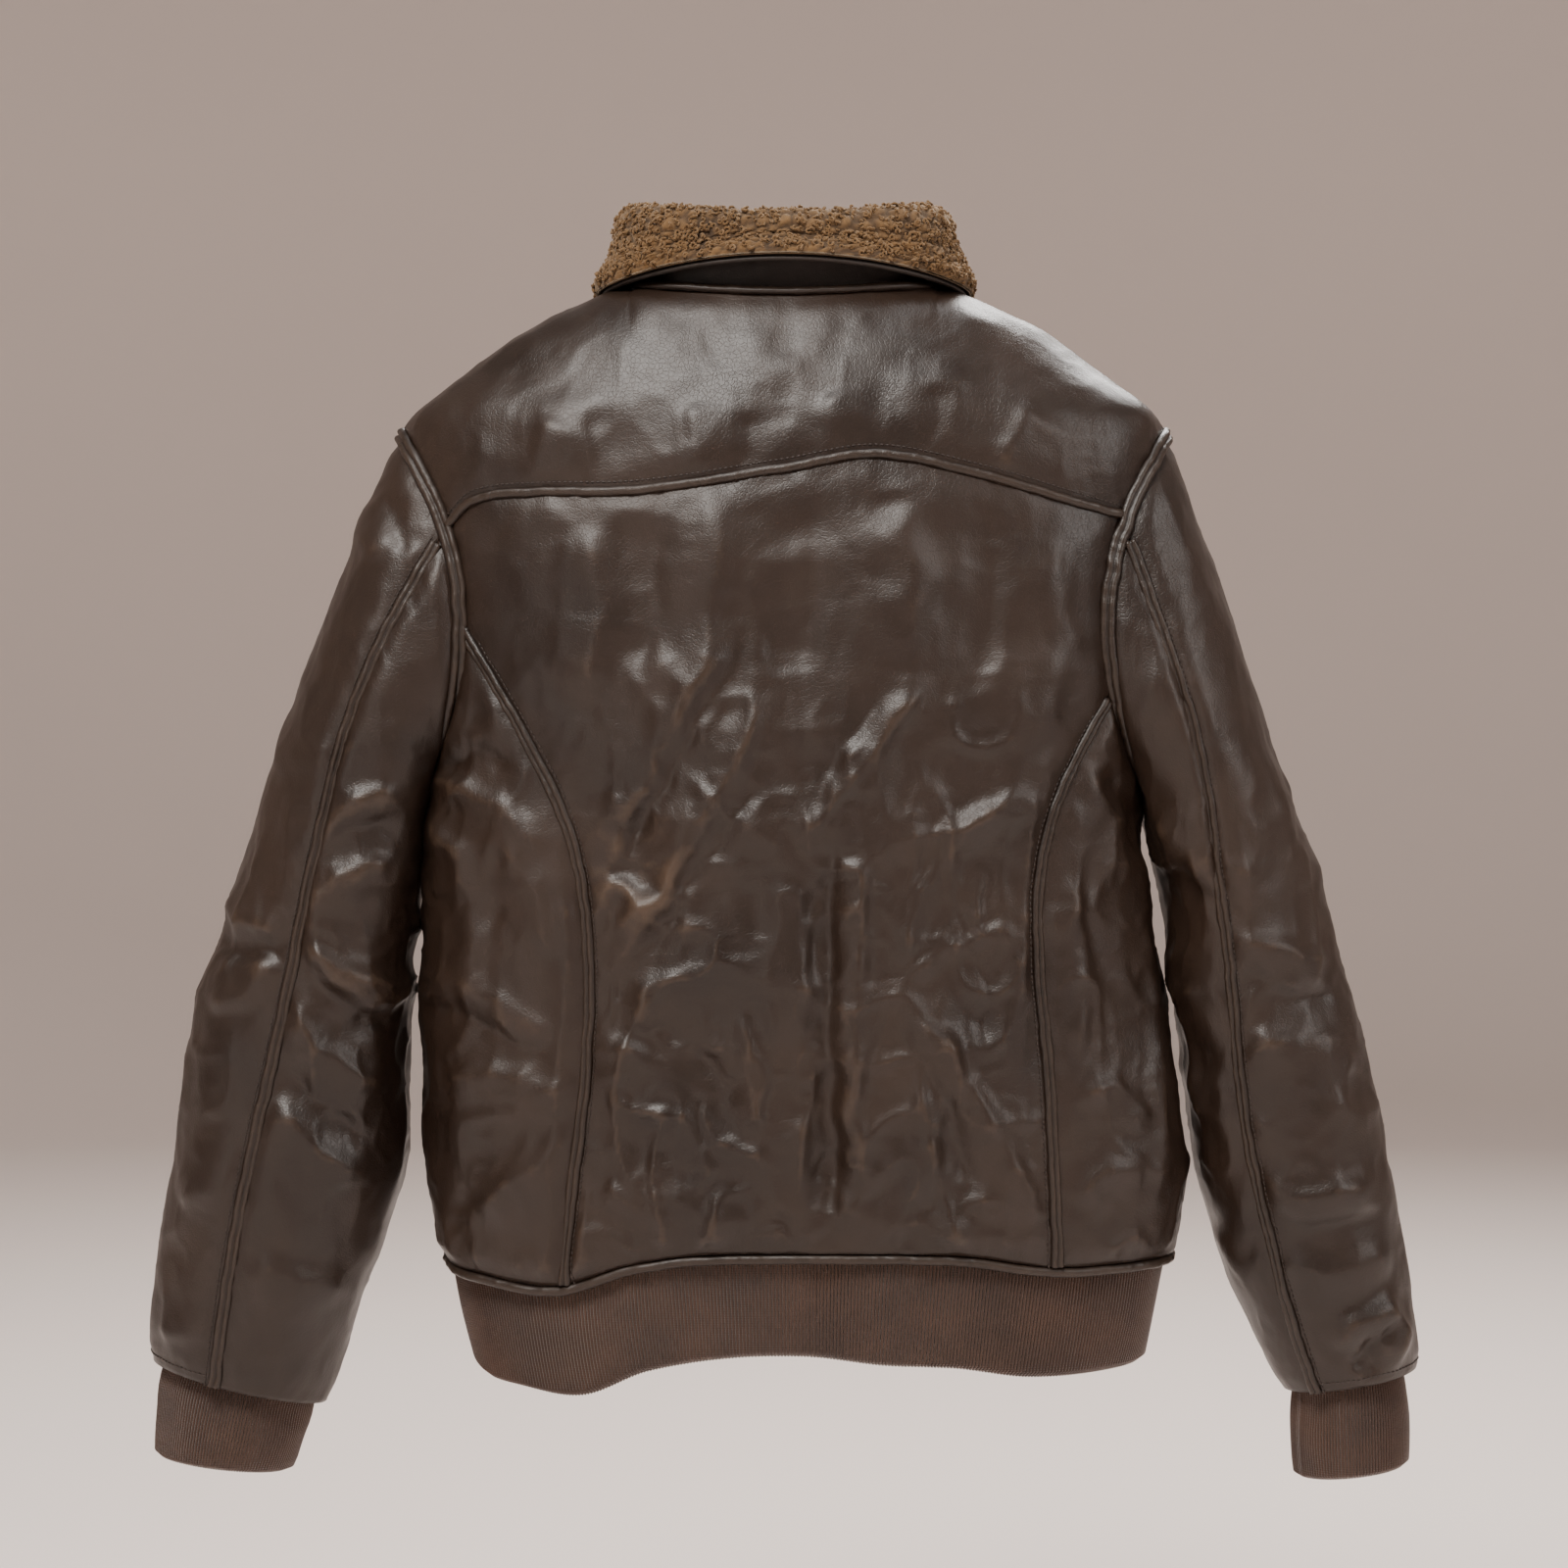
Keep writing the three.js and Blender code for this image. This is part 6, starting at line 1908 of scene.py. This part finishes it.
loop_y = -58.195 * MM
lift = np.array([0, 0, 1.0])
corner = np.linspace(0, math.pi / 2, 7)
arch = [(-0.0275, -0.036), (-0.0275, -0.027)]
arch += [(-0.0225 - 0.005 * math.cos(t), -0.026 + 0.005 * math.sin(t)) for t in corner]
arch += [(-x, z) for x, z in arch[::-1]]
arch_path = np.array([(x, loop_y, z) for x, z in arch])
arch_out = np.array(
    [
        (x * 0.2, 0, 1.0) if abs(x) < 0.022 else (math.copysign(1, x), 0, 0.0 if z < -0.027 else 0.8) for x,
        z in arch
    ]
)
strap = [
    (0.003, 0.0), (0.0026, 0.0009), (-0.0026, 0.0009), (-0.003, 0.0), (-0.0026, -0.0009), (0.0026, -0.0009),
]
loop = swept("hanging_loop", arch_path, unit(arch_out), strap, UNDER_LEATHER, 0.1, 80)
hold_to(loop, "torso", "hang_loop", slot="leather", fill=0.2)

label_u = lambda u, v: face_at((u - 0.5) * 0.052, -0.072 + v * 0.028, -1)


def label_place(u, v, h):
    return label_u(u, v) + np.array([0, 1.0, 0]) * (0.0134 + h)[..., None]


label = pillow("neck_label_woven", label_place, 0.052, 0.028, 0.0008, LABEL, 30, 18, 0.0008)
hold_to(label, "torso", "neck_label", slot="label")


# ---------------------------------------------------------------- zip, waist tabs, pockets and press studs
def tooth_tree():
    """Moulded teeth stood along a line at an even pitch."""
    tree, start, end = new_tree("zip teeth", [
        ("Pitch", "NodeSocketFloat", 0.0030),
        ("Tooth width", "NodeSocketFloat", 0.0030),
        ("Tooth depth", "NodeSocketFloat", 0.0028),
        ("Tooth height", "NodeSocketFloat", 0.0017),
        ("Metal", "NodeSocketMaterial", None),
    ])
    nodes = tree.nodes
    curve = nodes.new("GeometryNodeMeshToCurve")
    spread = nodes.new("GeometryNodeResampleCurve")
    spread.mode = "LENGTH"
    drum = nodes.new("GeometryNodeMeshCylinder")
    drum.inputs["Vertices"].default_value = 8
    drum.inputs["Radius"].default_value = 0.62
    drum.inputs["Depth"].default_value = 1.0
    size = nodes.new("ShaderNodeCombineXYZ")
    place = nodes.new("GeometryNodeInstanceOnPoints")
    real = nodes.new("GeometryNodeRealizeInstances")
    paint = nodes.new("GeometryNodeSetMaterial")
    connect(tree, [
        (start, "Geometry", curve, "Mesh"),
        (curve, "Curve", spread, "Curve"),
        (start, "Pitch", spread, "Length"),
        (spread, "Curve", place, "Points"),
        (drum, "Mesh", place, "Instance"),
    ])
    for label_name, axis in (("Tooth width", "X"), ("Tooth depth", "Y"), ("Tooth height", "Z")):
        tree.links.new(start.outputs[label_name], size.inputs[axis])
    connect(tree, [
        (size, "Vector", place, "Scale"),
        (place, "Instances", real, "Geometry"),
        (real, "Geometry", paint, "Geometry"),
        (start, "Metal", paint, "Material"),
        (paint, "Geometry", end, "Geometry"),
    ])
    return tree


TEETH = tooth_tree()
for side, x, shift in (("left", -0.0019, 0.0), ("right", 0.0019, 0.0015)):
    z = np.linspace(-0.010 - shift, -ZIP_LENGTH + 0.010, 60)
    row = made_with(
        TEETH, lines_piece(f"zip_teeth_{side}_row", [on_zip(np.full(60, x), np.full(60, -0.003), z)]),
        {"Metal": BRASS},
    )
    hold_to(row, "torso", f"zip_teeth_{side}", slot="brass")

for side in ("left", "right"):
    sign = SLEEVES[side]["side"]
    tab_top = HEM_LEVEL - 7.6 * MM

    def tab_place(u, v, h, sign=sign, tab_top=tab_top):
        x = lerp(7 * MM, 75 * MM, u if sign > 0 else 1 - u) * sign
        z = lerp(BAND_BOTTOM, tab_top, v)
        seat = face_at(x, z, 1)
        seat[..., 1] += h - 0.0055
        return seat

    tab = pillow(
        f"waist_tab_{side}_leather", tab_place, 0.068, 0.058, 0.0048, LEATHER, 44, 36, 0.0030, 0.0006,
    )
    hold_to(tab, "torso", f"waist_tab_{side}", slot="leather", fill=0.3)
    # the pocket: a pouch with open top, and its flap
    near = face_at(sign * 60 * MM, -506 * MM, 1)
    far = face_at(sign * 188 * MM, -506 * MM, 1)
    turn = math.atan2(far[1] - near[1], far[0] - near[0]) + (math.pi if sign < 0 else 0)
    origin = np.array([*((near + far) / 2)[:2], -572 * MM])

    def on_pocket(x, y, z, turn=turn, origin=origin):
        x, y, z = np.broadcast_arrays(np.asarray(x, float), np.asarray(y, float), np.asarray(z, float))
        c, s = math.cos(turn), math.sin(turn)
        return origin + np.stack([x * c - y * s, x * s + y * c, z], -1)

    def seat_y(x, z, turn=turn, origin=origin):
        """How far forward the front panel's face is, in the pocket's own frame."""
        y = np.zeros(np.shape(x))
        for _ in range(6):
            p = origin + np.stack(
                [x * math.cos(turn) - y * math.sin(turn), x * math.sin(turn) + y * math.cos(turn), z], -1,
            )
            y = y + (face_at(p[..., 0], p[..., 2], 1)[..., 1] - p[..., 1]) / math.cos(turn)
        return y

    u, v = np.meshgrid(np.linspace(0, 1, 85), np.linspace(0, 1, 80))
    x, z = (u - 0.5) * 0.1274, v * 0.132
    x_wall = np.clip((u - 0.5) * 0.150, -0.0637, 0.0637)
    side_share = np.clip((0.5 - np.abs(u - 0.5)) * 0.150 / 0.0113, 0, 1)
    foot_share = np.clip(v * 0.132 / 0.011, 0, 1)
    z_wall = np.clip((v - 0.06) / 0.94, 0, 1) * 0.132 + 0.0004
    seat = seat_y(x_wall, z_wall)
    rise = np.sqrt(
        np.clip(1 - (1 - side_share) ** 2, 0, 1)
    ) * np.sqrt(np.clip(1 - (1 - foot_share) ** 2, 0, 1))
    sag = 0.0012 * waver(np.stack([x_wall, z_wall], -1), 0.03, 6) * rise
    y = lerp(seat - 0.001, np.full(u.shape, 0.0218), rise) + np.minimum(sag, 0)
    pouch = mesh_piece(
        f"pocket_{side}_pouch", on_pocket(x_wall, y, z_wall), grid_faces(80, 85, flip=True), LEATHER,
    )
    # Lighter colour near the pouch's rim: partly real wear, partly painted highlight.
    put_number(pouch, "wear_and_highlight", 0.5 * np.exp(-(((rise - 0.85) / 0.12) ** 2)))
    thick = pouch.modifiers.new("thickness", "SOLIDIFY")
    thick.thickness, thick.offset = 0.0022, -1
    bpy.context.view_layer.update()
    hold_to(applied(pouch), "torso", f"pocket_{side}", slot="leather", fill=0.3)
    for inset in (0.006, 0.0105):
        edge_line = [
            (-0.0637 + inset, 0.120), (-0.0637 + inset, inset), (0.0637 - inset, inset),
            (0.0637 - inset, 0.120),
        ]
        dense = np.concatenate([np.linspace(a, b, 40) for a, b in zip(edge_line[:-1], edge_line[1:])])
        stitch_along("torso", on_pocket(dense[:, 0], np.full(len(dense), 0.0221), dense[:, 1]))

    half_w, lip = 0.068, 0.0276
    u, v = np.meshgrid(np.linspace(0, 1, 90), np.linspace(0, 1, 70))
    x = (u - 0.5) * 2 * half_w
    foot = -0.062 + 0.0236 * np.clip((np.abs(x) - 0.3 * half_w) / (0.7 * half_w), 0, 1)
    top_y = seat_y(x, np.full(u.shape, 0.1434)) + 0.0008
    bend = np.clip((v - 0.20) / 0.08, 0, 1) * math.pi / 2
    y = np.where(v < 0.20, lerp(top_y, lip - 0.0035, v / 0.20), lip - 0.0035 + 0.0035 * np.sin(bend))
    z = np.where(
        v < 0.20, 0.145,
        0.145 - 0.0035 * (1 - np.cos(bend)) + (foot + 0.0035) * np.clip((v - 0.28) / 0.72, 0, 1),
    )
    y = y + 0.0006 * waver(np.stack([x, z], -1), 0.025, 9) * np.clip((v - 0.3) * 3, 0, 1) - 0.0006
    flap = mesh_piece(f"pocket_flap_{side}_leather", on_pocket(x, y, z), grid_faces(70, 90), LEATHER)
    rim = np.minimum(half_w - np.abs(x), np.abs(z - 0.145 - foot))
    # Lighter colour along the flap's edges and its fold: partly real wear, partly painted highlight.
    put_number(
        flap, "wear_and_highlight",
        0.6 * np.exp(-(((rim - 0.001) / 0.003) ** 2)) + 0.5 * np.exp(-(((v - 0.25) / 0.05) ** 2)),
    )
    thick = flap.modifiers.new("thickness", "SOLIDIFY")
    thick.thickness, thick.offset = 0.0028, -1
    soften = flap.modifiers.new("soft edges", "BEVEL")
    soften.width, soften.segments = 0.0009, 2
    soften.limit_method, soften.angle_limit = "ANGLE", math.radians(50)
    bpy.context.view_layer.update()
    hold_to(outward(applied(flap)), f"flap_{side}", f"pocket_flap_{side}", slot="leather", fill=0.3)
    inset = 0.0045
    corner_z = 0.145 - 0.0384 + inset * 0.7
    outline = [
        (-half_w + inset, 0.138), (-half_w + inset, corner_z), (-0.3 * half_w, 0.083 + inset),
        (0.3 * half_w, 0.083 + inset), (half_w - inset, corner_z), (half_w - inset, 0.138),
    ]
    dense = np.concatenate([np.linspace(a, b, 24) for a, b in zip(outline[:-1], outline[1:])])
    stitch_along(f"flap_{side}", on_pocket(dense[:, 0], np.full(len(dense), lip + 0.0001), dense[:, 1]))


def turned_metal(name, profile, centre, out, body, node):
    """A round metal piece turned from a profile of (radius, height) points, on an axis through its centre."""
    out = unit(np.array(out, float))
    sideways = unit(np.cross(out, np.array([0, 0, 1.0])))
    up = np.cross(sideways, out)
    angles = np.linspace(0, 2 * math.pi, 40, endpoint=False)
    grid = np.array(
        [
            [centre + r * (math.cos(a) * sideways + math.sin(a) * up) + h * out for a in angles] for r,
            h in profile
        ]
    )
    faces = [tuple(f) for f in grid_faces(len(profile), 40, ring=True)]
    faces += [tuple(range(40)), tuple(reversed(range((len(profile) - 1) * 40, len(profile) * 40)))]
    hold_to(outward(mesh_piece(name, grid, faces, BRASS)), body, node, slot="brass")


for side in ("left", "right"):
    for node, body, shown in (
        (f"snap_cap_{side}", f"flap_{side}", "cap"), (f"snap_stud_{side}", "torso", "stud"),
    ):
        low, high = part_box(node)
        centre = (np.array(low) + np.array(high)) / 2
        turn = math.radians(14.05) if side == "left" else math.radians(-9.815)
        out = np.array([-math.sin(turn), math.cos(turn), 0])
        if shown == "cap":
            profile = [
                (7.4, -1.3), (7.5, -0.9), (7.5, 0.0), (7.1, 0.6), (6.0, 1.0), (5.6, 0.8), (5.2, 0.9),
                (3.6, 1.2), (1.6, 1.3), (0.3, 1.3),
            ]
        else:
            profile = [(4.5, -0.8), (4.6, -0.4), (4.3, 0.0), (2.4, 0.1), (2.2, 0.5), (1.8, 0.8), (0.3, 0.8)]
        turned_metal(f"{node}_metal", [(r * MM, h * MM) for r, h in profile], centre, out, body, node)


# ---------------------------------------------------------------- camera, light and floor
def lamp(name, size, power, place, aim, colour=(1, 1, 1)):
    data = bpy.data.lights.new(name, "AREA")
    data.shape = "RECTANGLE"
    data.size, data.size_y = size
    data.energy = power
    data.color = colour
    light = bpy.data.objects.new(name, data)
    light.location = place
    light.rotation_mode = "QUATERNION"
    light.rotation_quaternion = (Vector(aim) - Vector(place)).to_track_quat("-Z", "Y")
    scene.collection.objects.link(light)


camera = bpy.data.objects.new("camera", bpy.data.cameras.new("camera"))
camera.data.lens, camera.data.sensor_width = 80, 36
camera.location = (0, -2.2, -0.3075)
camera.rotation_euler = (math.pi / 2, 0, 0)
scene.collection.objects.link(camera)
scene.camera = camera

lamp("key", (1.7, 1.0), 165, (-0.9, -2.2, 2.3), (0, 0, -0.25), (1, 0.96, 0.91))
lamp("side", (0.6, 1.8), 34, (2.5, -1.5, 0.9), (0, 0, -0.35), (1, 0.97, 0.94))
lamp("low", (1.6, 0.5), 7, (-1.6, -2.6, -0.3), (0, 0, -0.45), (1, 0.96, 0.92))
lamp("top", (2.0, 1.0), 40, (0.2, -0.1, 2.6), (0, 0, -0.3))
lamp("front", (1.7, 1.1), 150, (0.9, 2.4, 2.2), (0, 0, -0.3), (1, 0.97, 0.94))
world = bpy.data.worlds.new("studio")
scene.world = world
world.use_nodes = True
world.node_tree.nodes["Background"].inputs["Color"].default_value = (0.90, 0.83, 0.79, 1)
world.node_tree.nodes["Background"].inputs["Strength"].default_value = 0.22

FLOOR_LEVEL, FLOOR_REACH, FLOOR_CURVE = -1.05, 5.2, 2.4
profile = [(0, FLOOR_LEVEL), (FLOOR_REACH, FLOOR_LEVEL)]
profile += [
    (FLOOR_REACH + FLOOR_CURVE * math.sin(t), FLOOR_LEVEL + FLOOR_CURVE * (1 - math.cos(t)))
    for t in np.linspace(0.1, math.pi / 2, 14)
]
profile += [(FLOOR_REACH + FLOOR_CURVE, FLOOR_LEVEL + FLOOR_CURVE + 3.5)]
turns = np.linspace(0, 2 * math.pi, 96, endpoint=False)
floor_grid = np.array([[(r * math.cos(a), r * math.sin(a), z) for a in turns] for r, z in profile[1:]])
faces = [
    tuple(f) for f in grid_faces(*floor_grid.shape[:2], ring=True, flip=True)
] + [tuple(range(len(turns)))]
paper, tree, shader = new_material("pale studio paper")
cloud = noise_of(tree, object_coords(tree), 0.8, 2)
tree.links.new(mix_colour(tree, cloud, (0.80, 0.70, 0.65), (0.83, 0.73, 0.68)), shader.inputs["Base Color"])
shader.inputs["Roughness"].default_value = 0.9
mesh_piece("studio_floor", floor_grid, faces, paper)

# ---------------------------------------------------------------- stitches, and the zip's own metal
for body, paths in stitched.items():
    if paths:
        hold_to(made_with(STITCHES, lines_piece("stitches_" + body, paths), {"Thread": THREAD}), body)

for name in ("zip_slider", "zip_puller", "zip_box", "zip_top_stop_left", "zip_top_stop_right"):
    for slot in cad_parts[name].material_slots:
        slot.material = BRASS
